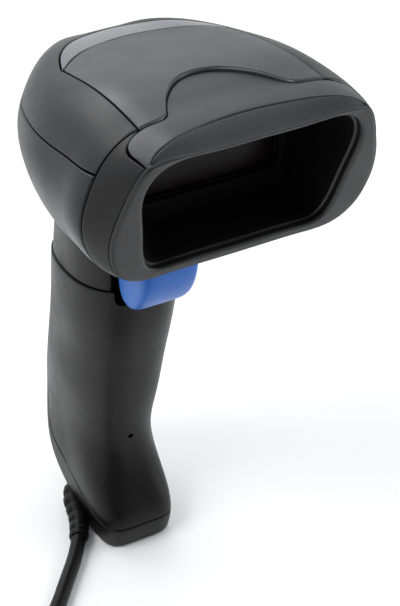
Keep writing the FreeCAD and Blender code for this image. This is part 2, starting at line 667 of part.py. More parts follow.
def trigger_parts():
    """Trigger with its pin, bracket and return spring."""
    middle = [sum(p[i] for p in TRIGGER_PROFILE) / len(TRIGGER_PROFILE) for i in (0, 1)]

    def outline(x, inset):
        points = []
        for y, z in TRIGGER_PROFILE:
            reach = math.hypot(y - middle[0], z - middle[1])
            factor = (reach - inset) / reach
            points.append(V(x, middle[0] + (y - middle[0]) * factor,
                            middle[1] + (z - middle[1]) * factor))
        curve = Part.BSplineCurve()
        curve.interpolate(Points=points, PeriodicFlag=True)
        return Part.Wire(curve.toShape())

    half = TRIGGER_HALF_WIDTH
    stations = [(-half, 2.6), (-half + 0.9, 1.1), (-half + 2.8, 0.2), (0, 0), (half - 2.8, 0.2),
                (half - 0.9, 1.1), (half, 2.6)]
    body = Part.makeLoft([outline(x, inset) for x, inset in stations], True, False)
    wall = 1.5
    core = Part.makeLoft([outline(x, wall) for x in (-half + wall, half - wall)], True, False)
    opened = block(-half + wall, half - wall, -12.5, -5, 91.5, 113)
    axis = V(0, PIVOT_Y, PIVOT_Z)
    boss = rod(axis + V(-half + 0.5, 0, 0), axis + V(half - 0.5, 0, 0), 2.7)
    tab = block(-1.6, 1.6, -25.5, PLUNGER_Y - PRESS_GAP, SWITCH_Z - 1.6, SWITCH_Z + 1.6)
    body = body.cut(core).cut(opened)
    body = fuse([largest(body), boss, tab])
    body = body.cut(block(-2.4, 2.4, PIVOT_Y - 4, PIVOT_Y + 3.6, PIVOT_Z - 3.6, PIVOT_Z + 6))
    body = body.cut(rod(axis + V(-12, 0, 0), axis + V(12, 0, 0), PIN_BORE_R))
    save("trigger", largest(body))

    save("trigger_pin", rod(axis + V(-EAR_X[1], 0, 0), axis + V(EAR_X[1], 0, 0), PIN_R))
    limit = head_body(SKIN + 0.1).fuse(grip_body(SKIN + 0.1))
    ears = []
    for side in (-1, 1):
        x = sorted((side * EAR_X[0], side * EAR_X[1]))
        ears.append(block(x[0], x[1], -19, -10.5, 108, 121.2))
    base = block(-15.6, 15.6, -18, -10.5, 119.6, 121.2)
    bracket = fuse(ears + [base]).common(limit)
    bracket = bracket.cut(rod(axis + V(-12, 0, 0), axis + V(12, 0, 0), PIN_R))
    for side in (-1, 1):
        bracket = bracket.cut(rod(V(13.4 * side, -14, 118), V(13.4 * side, -14, 123), SHANK_R + 0.15))
    save("trigger_bracket", largest(bracket))
    save("trigger_bracket_screws", group([screw(V(13.4 * side, -14, 121.2), V(0, 0, -1), 5.0)
                                          for side in (-1, 1)]))
    save("trigger_spring", trigger_spring(axis))


def trigger_spring(axis):
    """Torsion spring round the pin, with a leg on the bracket and a leg in the trigger."""
    turns = 4
    steps = 12
    rise = 2.4 * SPRING_WIRE_R
    points = [V(-turns * rise / 2 - 0.1, 0.6, 4.3), V(-turns * rise / 2 - 0.1, SPRING_R * 0.95, 2.2)]
    for i in range(turns * steps + 1):
        turn = 2 * math.pi * i / steps
        points.append(V(-turns * rise / 2 + rise * i / steps, SPRING_R * math.cos(turn),
                        -SPRING_R * math.sin(turn)))
    points.append(V(turns * rise / 2 + 0.1, SPRING_R * 0.95, 2.2))
    points = [point + axis for point in points]
    curve = Part.BSplineCurve()
    curve.interpolate(Points=points)
    path = Part.Wire(curve.toShape())
    ring = Part.Wire(Part.makeCircle(SPRING_WIRE_R, points[0], curve.tangent(0)[0]))
    return path.makePipeShell([ring], True, True)


def grip_electronics():
    """Interface board in the grip with its switch, and the socket for the cord."""
    y0, y1 = LINK_Y
    narrow, wide = LINK_HALF_WIDTH
    board = block(-wide, wide, y0, y1, LINK_Z[1], LINK_Z[2])
    board = fuse([board, block(-narrow, narrow, y0, y1, LINK_Z[0], LINK_Z[1])]).removeSplitter()
    for z in COVER_SCREWS_Z:
        board = board.cut(rod(V(0, 0, z), V(0, 10, z), 4.3))
    for x, z in LINK_POSTS:
        board = board.cut(rod(V(x, 0, z), V(x, 10, z), SHANK_R + 0.15))
    save("interface_board", board)
    save("interface_screws", group([screw(V(x, y1, z), V(0, -1, 0), 6.5) for x, z in LINK_POSTS]))

    z = SWITCH_Z
    front = PLUNGER_Y + PLUNGER_PROUD
    switch = block(-3.2, 3.2, front, y0, z - 4.2, z + 4.2)
    switch = switch.cut(block(-1.35, 1.35, front - 1, y0 - 0.6, z - 1.35, z + 1.35))
    save("trigger_switch", switch)
    save("switch_plunger", block(-1, 1, PLUNGER_Y, front + 1.9, z - 1, z + 1))

    w, d = PLUG_HALF
    low, high = PLUG_Z
    jack = block(-w - 1.3, w + 1.3, EXIT_Y - d - 3.4, EXIT_Y + d + 3.4, 29, 46)
    jack = fuse([jack, block(-4.8, 4.8, y1, EXIT_Y - d - 3.4, 30, 46)]).removeSplitter()
    jack = jack.cut(block(-w - 0.25, w + 0.25, EXIT_Y - d - 0.25, EXIT_Y + d + 0.25, 20, high + 0.3))
    jack = jack.cut(block(-3.4, 3.4, EXIT_Y - d - 2.6, EXIT_Y, 20, high + 0.3))
    jack = jack.cut(rod(V(0, 0, RELEASE_Z), V(0, 15, RELEASE_Z), RELEASE_R))
    save("cord_jack", jack)
    plug = block(-w, w, EXIT_Y - d, EXIT_Y + d, low, high)
    contacts = []
    for i in range(10):
        x = -4.6 + i * 1.02
        contacts.append(block(x - 0.2, x + 0.2, EXIT_Y + d - 1.2, EXIT_Y + d + 1, high - 6, high + 1))
    plug = plug.cut(group(contacts))
    plug = plug.fuse(block(-3, 3, EXIT_Y - d - 1.0, EXIT_Y - d, LATCH_Z - 0.8, high))
    save("modular_plug", largest(plug))
    y = EXIT_Y - d
    latch = line_face([V(0, y - 1.05, LATCH_Z + 0.8), V(0, y - 1.05, LATCH_Z - 1),
                       V(0, y - 1.35, 27), V(0, y - 2.25, 27), V(0, y - 2.0, LATCH_Z - 2.6),
                       V(0, y - 1.95, LATCH_Z + 0.8)])
    save("plug_latch", slab_x(latch, 2.9))


def cover_screws():
    screws = []
    for z in COVER_SCREWS_Z:
        seat = V(0, head_seat(z), z)
        body = fuse([rod(seat, seat + V(0, 2.2, 0), 2.6), rod(seat, V(0, 4.0, z), 1.2)])
        recess = block(-1.6, 1.6, seat.y + 1.0, seat.y + 3, z - 0.3, z + 0.3)
        cross = block(-0.3, 0.3, seat.y + 1.0, seat.y + 3, z - 1.6, z + 1.6)
        screws.append(body.cut(recess).cut(cross))
    save("grip_screws", group(screws))


def cord_and_plug():
    """Relief, cord, put-away coil with its tie, and the plug on the far end."""
    save("strain_relief", cord_tube(RELIEF_ROUTE + [RELIEF_END], RELIEF_R))
    save("cord", cord_tube(CORD_ROUTE, CORD_R))
    save("cord_end", cord_tube(END_ROUTE, CORD_R))

    base = V(COIL_CENTRE[0], COIL_CENTRE[1], COIL_Z[0] - CORD_R)
    height = COIL_Z[1] - COIL_Z[0] + 2 * CORD_R
    coil = Part.makeCylinder(COIL_R[1] + CORD_R, height, base)
    coil = coil.cut(Part.makeCylinder(COIL_R[0] - CORD_R, height, base))
    coil = coil.makeFillet(1.6, coil.Edges[0:1] + coil.Edges[2:3])
    save("cord_coil", coil)
    inner = COIL_R[0] - CORD_R - 1.6
    outer = COIL_R[1] + CORD_R + TIE_THICK
    tie = block(inner, outer, -TIE_HALF_WIDTH, TIE_HALF_WIDTH, 0, height + 2 * TIE_THICK)
    tie.rotate(V(0, 0, 0), V(0, 0, 1), TIE_TURN)
    tie.translate(V(COIL_CENTRE[0], COIL_CENTRE[1], 0))
    save("cord_tie", largest(tie.cut(coil)))

    x = END_ROUTE[-1][0]
    save("usb_boot", cone(V(x, USB_Y, USB_Z), V(x + 10, USB_Y, USB_Z), 2.7, 3.6))
    x += 10
    save("usb_body", round_block(x, x + 25, USB_Y - 8, USB_Y + 8, 0.1, 8.1, 1.5, V(1, 0, 0)))
    x += 25
    shell = block(x, x + 12.5, USB_Y - 6, USB_Y + 6, USB_Z - 2.25, USB_Z + 2.25)
    save("usb_shell", shell.cut(block(x, x + 13, USB_Y - 5.7, USB_Y + 5.7, USB_Z - 1.95,
                                      USB_Z + 1.95)))
    save("usb_tongue", block(x, x + 11.5, USB_Y - 5.6, USB_Y + 5.6, USB_Z - 1.9, USB_Z - 0.1))


def main():
    os.makedirs("parts", exist_ok=True)
    nose_skin, head_skin, mouth = outer_mouldings()
    grip_mouldings()
    hood(nose_skin, head_skin, mouth)
    engine()
    electronics()
    trigger_parts()
    grip_electronics()
    cover_screws()
    cord_and_plug()


main()
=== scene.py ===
import bpy
import bmesh
import json
import math
import numpy as np
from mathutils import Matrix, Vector


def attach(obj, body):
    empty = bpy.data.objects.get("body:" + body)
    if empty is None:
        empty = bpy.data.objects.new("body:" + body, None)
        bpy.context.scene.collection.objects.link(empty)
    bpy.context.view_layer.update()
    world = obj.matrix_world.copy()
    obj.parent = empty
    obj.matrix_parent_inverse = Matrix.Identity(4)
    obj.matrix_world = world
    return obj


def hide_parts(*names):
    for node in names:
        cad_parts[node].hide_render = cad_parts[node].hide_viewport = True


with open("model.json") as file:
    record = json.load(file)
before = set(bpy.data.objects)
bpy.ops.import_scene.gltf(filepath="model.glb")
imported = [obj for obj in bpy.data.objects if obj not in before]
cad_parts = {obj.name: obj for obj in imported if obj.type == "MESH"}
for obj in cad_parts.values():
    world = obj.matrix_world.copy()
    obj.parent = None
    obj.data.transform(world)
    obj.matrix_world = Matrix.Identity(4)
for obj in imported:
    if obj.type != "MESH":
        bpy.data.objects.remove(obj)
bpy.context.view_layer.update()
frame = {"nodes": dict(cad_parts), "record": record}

# Handheld barcode scanner.  Shapes are worked out in millimetres in the object's own frame
# (+X right seen from behind, -Y the way the window faces, +Z up) and put in the scene in metres.

MM = 0.001
GAP = 0.35                  # parting line between two outer mouldings

# head
FACE_Z, FACE_Y, FACE_SLOPE = 165.0, -68.4, 0.315
BAND_Y = -56.0
HEAD_LENGTH = 72.5
HEAD_HALF_WIDTH = 36.8
WIDEST_Z, WIDEST_DROP = 147.0, 4.0
SEAM_Z, SEAM_SLOPE = 159.0, -0.18
FACE_OUTER = [(0, 168.4), (12, 168.4), (21.5, 168.0), (26, 165.8), (28.4, 162), (30.2, 156.5),
              (31.6, 150.5), (32.3, 145.3), (31.8, 140), (29.6, 134), (25.5, 130.4), (17, 129.6),
              (0, 129.6)]
FACE_INNER = [(0, 165.1), (11, 165.1), (19.5, 165), (23, 163.5), (25.1, 161), (26.3, 157),
              (26.1, 152), (25.3, 147.5), (24.4, 141.5), (23.2, 136), (21.2, 132.8), (15, 132),
              (0, 132)]
UPPER_FORM = [(0, 1), (0.34, 1), (0.60, 0.985), (0.76, 0.86), (0.88, 0.62), (0.955, 0.34),
              (0.995, 0.08)]
LOWER_FORM_FRONT = [(0.995, -0.14), (0.955, -0.42), (0.86, -0.72), (0.70, -0.93), (0.48, -1),
                    (0, -1)]
LOWER_FORM_REAR = [(0.985, -0.12), (0.91, -0.34), (0.77, -0.58), (0.58, -0.80), (0.34, -0.96),
                   (0, -1)]
HEAD_STATIONS = [(BAND_Y, 167.8, 129.5), (-45, 167.4, 124.5), (-32, 165.6, 117.5),
                 (-18, 162.3, 110), (-5, 159.4, 107), (4, 157, 109), (10, 154.3, 114),
                 (14, 151, 121), (16, 147.6, 130)]
PANEL_CREST = [(0, -38.3), (4.2, -39.3), (8.5, -42.9), (11.5, -47), (13.8, -51.6), (16, -55),
               (19.3, -55.9), (22.6, -56.3), (26.6, -58.5), (27.3, -62)]
VISOR_REAR = [(0, -61), (12, -62.3), (24.5, -66.6)]
PLATE_REAR = [(0, -4.2), (14, -8.5), (21.3, -15.3)]
CRESCENT_REAR = [(0, 5.6), (10.5, 2.2), (18.8, -8), (21.5, -15.3)]
LABEL_CORNERS = [(-27, -11.4, 130.3), (-22, -21.7, 124.3), (-19, -15, 114.3),
                 (-24, -4.7, 120.3)]
PLATE_SIDE = ((22.7, -60.0), (21.3, -15.3))

# grip
GRIP_SECTIONS = [(126, -1, 17.5, 15.5, 2.2), (114, 0.5, 16.4, 16, 2.2), (104, 2.9, 15.5, 17, 2.3),
                 (92, 5.5, 15, 18, 2.3), (76, 8.6, 14.2, 18.6, 2.3), (60, 13, 13.4, 18.9, 2.3),
                 (45, 17.1, 12.5, 19.6, 2.3), (32, 20.1, 10.8, 20, 2.6), (20, 18, 11, 20.8, 3.4),
                 (10, 13.8, 11, 21.1, 4.6), (0, 12.8, 10.2, 18.3, 5)]
COLLAR_Z, COLLAR_STEP = 92.0, 0.5
UNDERSIDE = [(6, 0), (14.5, 3.4), (24.5, 8.8), (32, 14.5), (37, 21.5), (40.5, 31)]
GRIP_SEAM = [(18.5, 95), (22, 76), (25.5, 60), (29, 45), (31.5, 34), (32, 26), (28, 18.8),
             (21.8, 16.6), (15.9, 14.4), (8.3, 11), (2, 8.7), (-4, 8), (-12, 7.8)]
SEAM_TURN = (30.5, 22.0)    # where the grip's seam turns forward along the rim of the foot
RELEASE_Z, RELEASE_R = 34.4, 0.8
SLOT = (-8.4, 8.4, -28.2, -6.4, 87.4, 122.0)

# trigger
TRIGGER_HALF_WIDTH = 7.9
TRIGGER_PROFILE = [(-26.5, 116.5), (-27.4, 110), (-26.8, 103.5), (-24.6, 97.4), (-21.2, 92.8),
                   (-17.4, 90.3), (-13.6, 90.6), (-11.6, 93.5), (-10.8, 99), (-10, 106),
                   (-9.8, 113), (-12, 117), (-19, 118)]

# hood, and the step behind the bezel's opening as (depth, how far it reaches inwards)
BEZEL_STEP = [(1.6, 0), (2.0, 0), (2.15, 0.12), (2.2, 0.45), (2.3, 0.55), (2.7, 0.55), (2.7, -0.6)]
HOOD_REAR_Y, HOOD_CENTRE_Z = -44.0, 149.0
VIEW_HALF = (18.5, 9.5)

# cord
CORD_R, RELIEF_R = 2.15, 3.1
RELIEF_PLAIN, RELIEF_RIBS = 12.0, 8         # length without ribs, and how many there are
RELIEF_ROUTE = [(0, 20, 22), (-0.6, 20.6, 15.5), (-2.6, 21.6, 8.6), (-7.4, 20.8, 4.2),
                (-11, 16, 3.2), (-13, 8.6, 3.2), (-15, 3.5, 3.2), (-16.8, -0.1, 3.2)]
CORD_ROUTE = [(-16.8, -0.1, 3.2), (-20.4, -5.6, 2.5), (-26.6, -12.9, 2.2), (-32.7, -20.6, 2.2),
              (-41.2, -29.3, 2.2), (-51.2, -39.3, 2.3), (-64.4, -51.8, 3.1)]
END_ROUTE = [(-39.7, -110.4, 7.4), (-31.5, -110.9, 6.7), (-22.5, -110.3, 4.9),
             (-14.0, -109.5, 4.1)]
COIL_CENTRE = (-39.7, -76.0)
COIL_R = (17.25, 34.35)
COIL_Z = (3.1, 7.4)
COIL_START = 137.0          # degrees round its centre at which the lead joins the coil
LAYER_TURNS, CROSSING_TURNS, POINTS_PER_TURN = 3.985, 0.4, 16
TIE_TURN = 200.0
USB_Y, USB_Z = -109.5, 4.1
# moulded grip of the plug: x, half width, half height, squareness
USB_GRIP = [(-4.0, 4.6, 3.2, 3.0), (-3.7, 5.2, 3.5, 3.2), (-2.2, 6.5, 3.8, 4.0),
            (0.5, 7.6, 3.95, 5.0), (3.0, 7.95, 4.0, 6.0), (7.0, 7.6, 3.85, 6.0),
            (11.0, 7.4, 3.8, 6.0), (15.0, 7.7, 3.9, 6.0), (18.5, 8.0, 4.0, 6.0),
            (20.4, 8.0, 4.0, 6.0), (20.85, 7.8, 3.8, 6.0), (21.0, 7.4, 3.4, 6.0),
            (21.0, 6.0, 2.3, 6.0)]

# walls of the mouldings
HEAD_WALL, LOWER_WALL, PANEL_WALL, PLATE_WALL, GRIP_WALL = 1.6, 1.8, 1.9, 1.6, 2.2
LENS_WALL, LABEL_PROUD = 1.2, 0.22
PANEL_SINK, SINK_FROM, SINK_OVER = 0.9, -60.0, 12.0     # the panel's rear lies below the plate
VISOR_DROP = 1.9            # the visor's front lies this much below the panel's level
VISOR_HALF, PANEL_HALF = 24.5, 27.3

# finish, light and camera, in metres
GRAIN_DEPTH = 0.00006
FLOOR_HALF, FLOOR_DROP = 2.5, 0.0001
CAMERA_AT, CAMERA_DOWN, CAMERA_TURN = (-0.17311, -0.36213, 0.37036), 36.0, -28.3
CAMERA_LENS, CAMERA_SENSOR = 75.25, 24.0     # in millimetres

# mesh density
WELD_REACH = 0.004
RIM_STEPS = 4
GRIP_ROWS = 70
RIM_COLUMNS = 61            # of the foot's rim from its corner to the toe's middle, on one side


# ---- smooth curves ----
def spline(knots, values):
    """Smooth curve through the values at the knots, as a function of an array."""
    knots = np.asarray(knots, float)
    values = np.asarray(values, float)
    count = len(knots)
    step = np.diff(knots)
    matrix = np.eye(count)
    right = np.zeros_like(values)
    for i in range(1, count - 1):
        matrix[i, i - 1:i + 2] = (step[i - 1], 2 * (step[i - 1] + step[i]), step[i])
        right[i] = 6 * ((values[i + 1] - values[i]) / step[i]
                        - (values[i] - values[i - 1]) / step[i - 1])
    bend = np.linalg.solve(matrix, right.reshape(count, -1)).reshape(values.shape)

    def at(t):
        t = np.asarray(t, float)
        i = np.clip(np.searchsorted(knots, t) - 1, 0, count - 2)
        tail = (1,) * (values.ndim - 1)
        h = step[i].reshape(t.shape + tail)
        a = ((knots[i + 1] - t) / step[i]).reshape(t.shape + tail)
        b = 1 - a
        return (a * values[i] + b * values[i + 1]
                + ((a ** 3 - a) * bend[i] + (b ** 3 - b) * bend[i + 1]) * h * h / 6)
    return at


def chord(points):
    points = np.asarray(points, float)
    return np.concatenate([[0], np.cumsum(np.linalg.norm(np.diff(points, axis=0), axis=1))])


def through(points):
    """Smooth curve through points, as a function of 0 to 1 along it."""
    length = chord(points)
    curve = spline(length, points)
    return lambda t: curve(np.asarray(t, float) * length[-1])


def closed(points, count):
    """Smooth closed ring through points, count samples between each two."""
    points = np.asarray(points, float)
    n = len(points)
    wrap = 5
    around = np.concatenate([points[-wrap:], points, points[:wrap + 1]])
    knots = chord(around)
    curve = spline(knots, around)
    steps = []
    for i in range(n):
        low, high = knots[wrap + i], knots[wrap + i + 1]
        steps.append(low + (high - low) * np.arange(count) / count)
    return curve(np.concatenate(steps))


def even(curve, count):
    """Points of a curve over 0 to 1 at even distances."""
    fine = curve(np.linspace(0, 1, 400))
    length = chord(fine)
    wanted = np.linspace(0, length[-1], count)
    return np.stack([np.interp(wanted, length, fine[:, k]) for k in range(fine.shape[1])], axis=1)


def both_sides(points):
    """A curve given from X = 0 to the right, continued to the left: right end first."""
    points = np.asarray(points, float)
    right = points[::-1]
    left = points[1:].copy()
    left[:, 0] *= -1
    return np.concatenate([right, left])


# ---- head surface ----
PER_SPAN = 8
AROUND = 24 * PER_SPAN


def full_ring(half):
    half = np.asarray(half, float)
    left = half[1:-1][::-1].copy()
    left[:, 0] *= -1
    return closed(np.concatenate([half, left]), PER_SPAN)


def face_y(z, behind=0.0):
    return FACE_Y + (FACE_Z - z) * FACE_SLOPE + behind


def face_half(outline):
    return [(x, face_y(z), z) for x, z in outline]


def head_half(y, top, bottom):
    share = (y - BAND_Y) / HEAD_LENGTH
    half_width = HEAD_HALF_WIDTH * (1 - share ** 3) ** 0.55
    middle = WIDEST_Z - WIDEST_DROP * share ** 2
    blend = min(1.0, 1.8 * share)
    points = [(fx * half_width, y, middle + fz * (top - middle)) for fx, fz in UPPER_FORM]
    for front, rear in zip(LOWER_FORM_FRONT, LOWER_FORM_REAR):
        fx = front[0] + blend * (rear[0] - front[0])
        fz = front[1] + blend * (rear[1] - front[1])
        points.append((fx * half_width, y, middle + fz * (middle - bottom)))
    return np.array(points)


def head_rings():
    face = np.array(face_half(FACE_OUTER))
    band = head_half(*HEAD_STATIONS[0])
    middle = (face + band) / 2
    middle[:, 0] *= 1.01
    rings = [full_ring(face), full_ring(middle)]
    rings += [full_ring(head_half(*row)) for row in HEAD_STATIONS]
    last = rings[-1]
    for y, scale in ((16.9, 0.72), (17.4, 0.38), (17.5, 0.0)):
        cap = last.copy()
        cap[:, 0] *= scale
        cap[:, 2] = 140.0 + (last[:, 2] - 140.0) * scale
        cap[:, 1] = y
        rings.append(cap)
    return np.array(rings)


RINGS = head_rings()
RING_AT = np.concatenate([[0], np.cumsum(np.linalg.norm(np.diff(RINGS, axis=0), axis=2)
                                         .mean(axis=1))])
V_BAND = RING_AT[2]
V_END = RING_AT[-1]
V_STEP = 0.5
V_COUNT = int(V_END / V_STEP) + 2
HEAD = spline(RING_AT, RINGS)(np.linspace(0, V_END, V_COUNT))


def surface(u, v):
    """Point of the head: u from 0 at the top, 12 at the bottom, to 24; v along it from the face."""
    u = np.mod(np.asarray(u, float), 24) * PER_SPAN
    v = np.clip(np.asarray(v, float) / V_END * (V_COUNT - 1), 0, V_COUNT - 1.0001)
    i = u.astype(int) % AROUND
    j = v.astype(int)
    a = (u - np.floor(u))[..., None]
    b = (v - j)[..., None]
    k = (i + 1) % AROUND
    return ((1 - a) * ((1 - b) * HEAD[j, i] + b * HEAD[j + 1, i])
            + a * ((1 - b) * HEAD[j, k] + b * HEAD[j + 1, k]))


def on_top(x, y):
    """The (u, v) of the point of the head's upper half above plan points."""
    x = np.asarray(x, float)
    y = np.asarray(y, float)
    v = np.interp(y, HEAD[:, 0, 1], np.linspace(0, V_END, V_COUNT))
    u = np.clip(x / 36.0, -1, 1) * 4.5
    d = 0.02
    for _ in range(30):
        here = surface(u, v)
        du = (surface(u + d, v) - surface(u - d, v)) / (2 * d)
        dv = (surface(u, v + d) - surface(u, v - d)) / (2 * d)
        rx = x - here[..., 0]
        ry = y - here[..., 1]
        det = du[..., 0] * dv[..., 1] - dv[..., 0] * du[..., 1]
        det = np.where(np.abs(det) < 0.05, 0.05, det)
        step_u = (rx * dv[..., 1] - ry * dv[..., 0]) / det
        step_v = (du[..., 0] * ry - du[..., 1] * rx) / det
        u = np.clip(u + np.clip(step_u, -1, 1) * 0.9, -7.5, 7.5)
        v = np.clip(v + np.clip(step_v, -3, 3) * 0.9, 0, V_END - 0.2)
    return u, v


def normals(points, wrap_u=False):
    """Outward unit normals of a grid, rows along v and columns along u."""
    du = np.gradient(points, axis=1)
    if wrap_u:
        du = (np.roll(points, -1, axis=1) - np.roll(points, 1, axis=1)) / 2
    dv = np.gradient(points, axis=0)
    n = np.cross(du, dv)
    return n / np.maximum(np.linalg.norm(n, axis=-1, keepdims=True), 1e-9)


def seam_z(y):
    return SEAM_Z + SEAM_SLOPE * (y - BAND_Y)


def seam_u(v, offset):
    """Where the parting line of the two head shells crosses the ring at v; 0 behind its end."""
    v = np.asarray(v, float)
    low = np.zeros_like(v)
    high = np.full_like(v, 7.5)
    for _ in range(40):
        mid = (low + high) / 2
        p = surface(mid, v)
        above = p[..., 2] > seam_z(p[..., 1]) + offset
        low = np.where(above, mid, low)
        high = np.where(above, high, mid)
    return (low + high) / 2


# ---- meshes ----
def link(name, data):
    """New object in the scene."""
    obj = bpy.data.objects.new(name, data)
    bpy.context.scene.collection.objects.link(obj)
    return obj


def even_shading(obj):
    """Weight the normals of an object by the size of its faces."""
    weight = obj.modifiers.new("even", "WEIGHTED_NORMAL")
    weight.weight = 80
    weight.keep_sharp = True
    return obj


def make(name, verts, faces, smooth=35.0):
    """Object from points in millimetres; edges sharper than the angle stay sharp."""
    mesh = bpy.data.meshes.new(name)
    mesh.from_pydata((np.asarray(verts, float) * MM).tolist(), [], [list(f) for f in faces])
    bm = bmesh.new()
    bm.from_mesh(mesh)
    bmesh.ops.remove_doubles(bm, verts=bm.verts, dist=2e-6)
    bmesh.ops.dissolve_degenerate(bm, edges=bm.edges, dist=1e-6)
    bmesh.ops.recalc_face_normals(bm, faces=bm.faces)
    finish_shading(bm, smooth)
    bm.to_mesh(mesh)
    bm.free()
    return even_shading(link(name, mesh))


def finish_shading(bm, smooth):
    limit = math.radians(smooth)
    for face in bm.faces:
        face.smooth = True
    for edge in bm.edges:
        if len(edge.link_faces) == 2:
            edge.smooth = edge.calc_face_angle(0.0) < limit
        else:
            edge.smooth = False


def grid_faces(rows, columns, wrap_u=False, wrap_v=False, start=0):
    faces = []
    for j in range(rows if wrap_v else rows - 1):
        for i in range(columns if wrap_u else columns - 1):
            a = start + j * columns + i
            b = start + j * columns + (i + 1) % columns
            c = start + ((j + 1) % rows) * columns + (i + 1) % columns
            d = start + ((j + 1) % rows) * columns + i
            faces.append((a, b, c, d))
    return faces


def weld(verts, faces):
    """Merge points that coincide and drop faces that vanish; also say where points come from."""
    keys, new, source, where = {}, [], [], []
    for i, spot in enumerate(np.round(verts / WELD_REACH).astype(int)):
        key = tuple(spot)
        if key not in keys:
            keys[key] = len(new)
            new.append(verts[i])
            source.append(i)
        source[keys[key]] = i
        where.append(keys[key])
    kept = []
    for face in faces:
        ring = []
        for i in face:
            k = where[i]
            if not ring or ring[-1] != k:
                ring.append(k)
        if len(ring) > 1 and ring[0] == ring[-1]:
            ring.pop()
        if len(set(ring)) == len(ring) and len(ring) > 2:
            kept.append(tuple(ring))
    return np.array(new), kept, source


HEAD_MIDDLE = (0.0, -25.0, 140.0)
GRIP_MIDDLE = (0.0, 13.0, 50.0)


def outwards(verts, faces, middle):
    """Turn the faces over if they look towards the middle."""
    quads = np.array([face[:3] for face in faces])
    p = verts[quads]
    n = np.cross(p[:, 1] - p[:, 0], p[:, 2] - p[:, 0])
    if np.sum(n * (p.mean(axis=1) - np.array(middle))) < 0:
        return [face[::-1] for face in faces]
    return faces


def slab(name, verts, faces, depth, radius=0.3, middle=HEAD_MIDDLE, steps=3, away=None):
    """Solid moulding from an open skin: rounded rims, side walls and an inner skin.

    The radius of the rims may differ from point to point.  The way outwards at each point is
    worked out from the faces, or given as away."""
    verts = np.asarray(verts, float).reshape(-1, 3)
    wide = np.broadcast_to(np.asarray(radius, float), (len(verts),))
    verts, faces, source = weld(verts, faces)
    wide = wide[source]
    faces = outwards(verts, faces, middle)
    tall = np.zeros_like(verts)
    edges = {}
    for face in faces:
        p = verts[list(face)]
        if len(face) == 4:
            n = np.cross(p[2] - p[0], p[3] - p[1])
        else:
            n = np.cross(p[1] - p[0], p[2] - p[0])
        for i in face:
            tall[i] += n
        for a, b in zip(face, face[1:] + face[:1]):
            edges[(a, b)] = True
    tall /= np.maximum(np.linalg.norm(tall, axis=1, keepdims=True), 1e-12)
    if away is not None:
        tall = away[source]
    after, before = {}, {}
    for a, b in edges:
        if (b, a) not in edges:
            after[a] = b
            before[b] = a
    rim = [a for a in after if a in before]
    out = {}
    for a in rim:
        ways = []
        for p, q in ((before[a], a), (a, after[a])):
            way = verts[q] - verts[p]
            way = way / max(np.linalg.norm(way), 1e-9)
            ways.append(np.cross(way, tall[a]))
        mean = ways[0] + ways[1]
        size = np.linalg.norm(mean)
        mean = mean / max(size, 1e-9)
        out[a] = mean * min(1.4, 2 / max(size, 1e-3))
    count = len(verts)
    index = {a: i for i, a in enumerate(rim)}
    loops = []
    for k in range(1, steps + 1):
        turn = math.pi / 2 * k / steps
        loops.append([verts[a] - wide[a] * out[a] * (1 - math.sin(turn))
                      - wide[a] * (1 - math.cos(turn)) * tall[a] for a in rim])
    loops.append([verts[a] - depth * tall[a] for a in rim])
    skin = verts.copy()
    for a in rim:
        skin[a] = verts[a] - wide[a] * out[a]
    points = [skin] + [np.array(loop) for loop in loops] + [verts - depth * tall]
    all_faces = list(faces)
    starts = [count + k * len(rim) for k in range(len(loops))]
    inner_start = count + len(loops) * len(rim)
    for a in rim:
        b = after[a]
        if b not in index:
            continue
        chain_a = [a] + [s + index[a] for s in starts]
        chain_b = [b] + [s + index[b] for s in starts]
        for k in range(len(chain_a) - 1):
            all_faces.append((chain_b[k], chain_a[k], chain_a[k + 1], chain_b[k + 1]))
    on_rim = {a: starts[-1] + index[a] for a in rim}
    for face in faces:
        all_faces.append(tuple(on_rim.get(i, inner_start + i) for i in reversed(face)))
    return make(name, np.concatenate(points), all_faces, 50.0)


def mould(name, grid, depth, **how):
    """Slab from rows of points."""
    grid = np.asarray(grid, float)
    return slab(name, grid.reshape(-1, 3), grid_faces(*grid.shape[:2]), depth, **how)


def loft(name, rings, smooth=40.0):
    """Closed body through rings with the same number of points."""
    rings = np.asarray(rings, float)
    rows, columns = rings.shape[:2]
    verts = np.concatenate([rings.reshape(-1, 3), rings[[0, -1]].mean(axis=1)])
    faces = grid_faces(rows, columns, wrap_u=True)
    last = rows * columns
    for i in range(columns):
        k = (i + 1) % columns
        faces.append((k, i, last))
        faces.append((last - columns + i, last - columns + k, last + 1))
    return make(name, verts, faces, smooth)


def hoop(name, rows, smooth):
    """Closed body from rings that follow one another round its wall."""
    rows = np.array(rows)
    return make(name, rows.reshape(-1, 3), grid_faces(*rows.shape[:2], wrap_u=True, wrap_v=True),
                smooth)


def curl(start, corner, end, f):
    """Point at share f of the arc from start to end that bends round the corner."""
    return (1 - f) ** 2 * start + 2 * f * (1 - f) * corner + f * f * end


def cut(obj, cutters):
    """Take the cutters out of an object for good."""
    for cutter in cutters:
        mod = obj.modifiers.new("cut", "BOOLEAN")
        mod.operation = "DIFFERENCE"
        mod.solver = "EXACT"
        mod.object = cutter
    obj.modifiers.remove(obj.modifiers["even"])
    bpy.context.view_layer.update()
    seen = obj.evaluated_get(bpy.context.evaluated_depsgraph_get())
    mesh = bpy.data.meshes.new_from_object(seen)
    obj.modifiers.clear()
    bm = bmesh.new()
    bm.from_mesh(mesh)
    finish_shading(bm, 50.0)
    bm.to_mesh(mesh)
    bm.free()
    obj.data = mesh
    for cutter in cutters:
        bpy.data.objects.remove(cutter)
    return even_shading(obj)


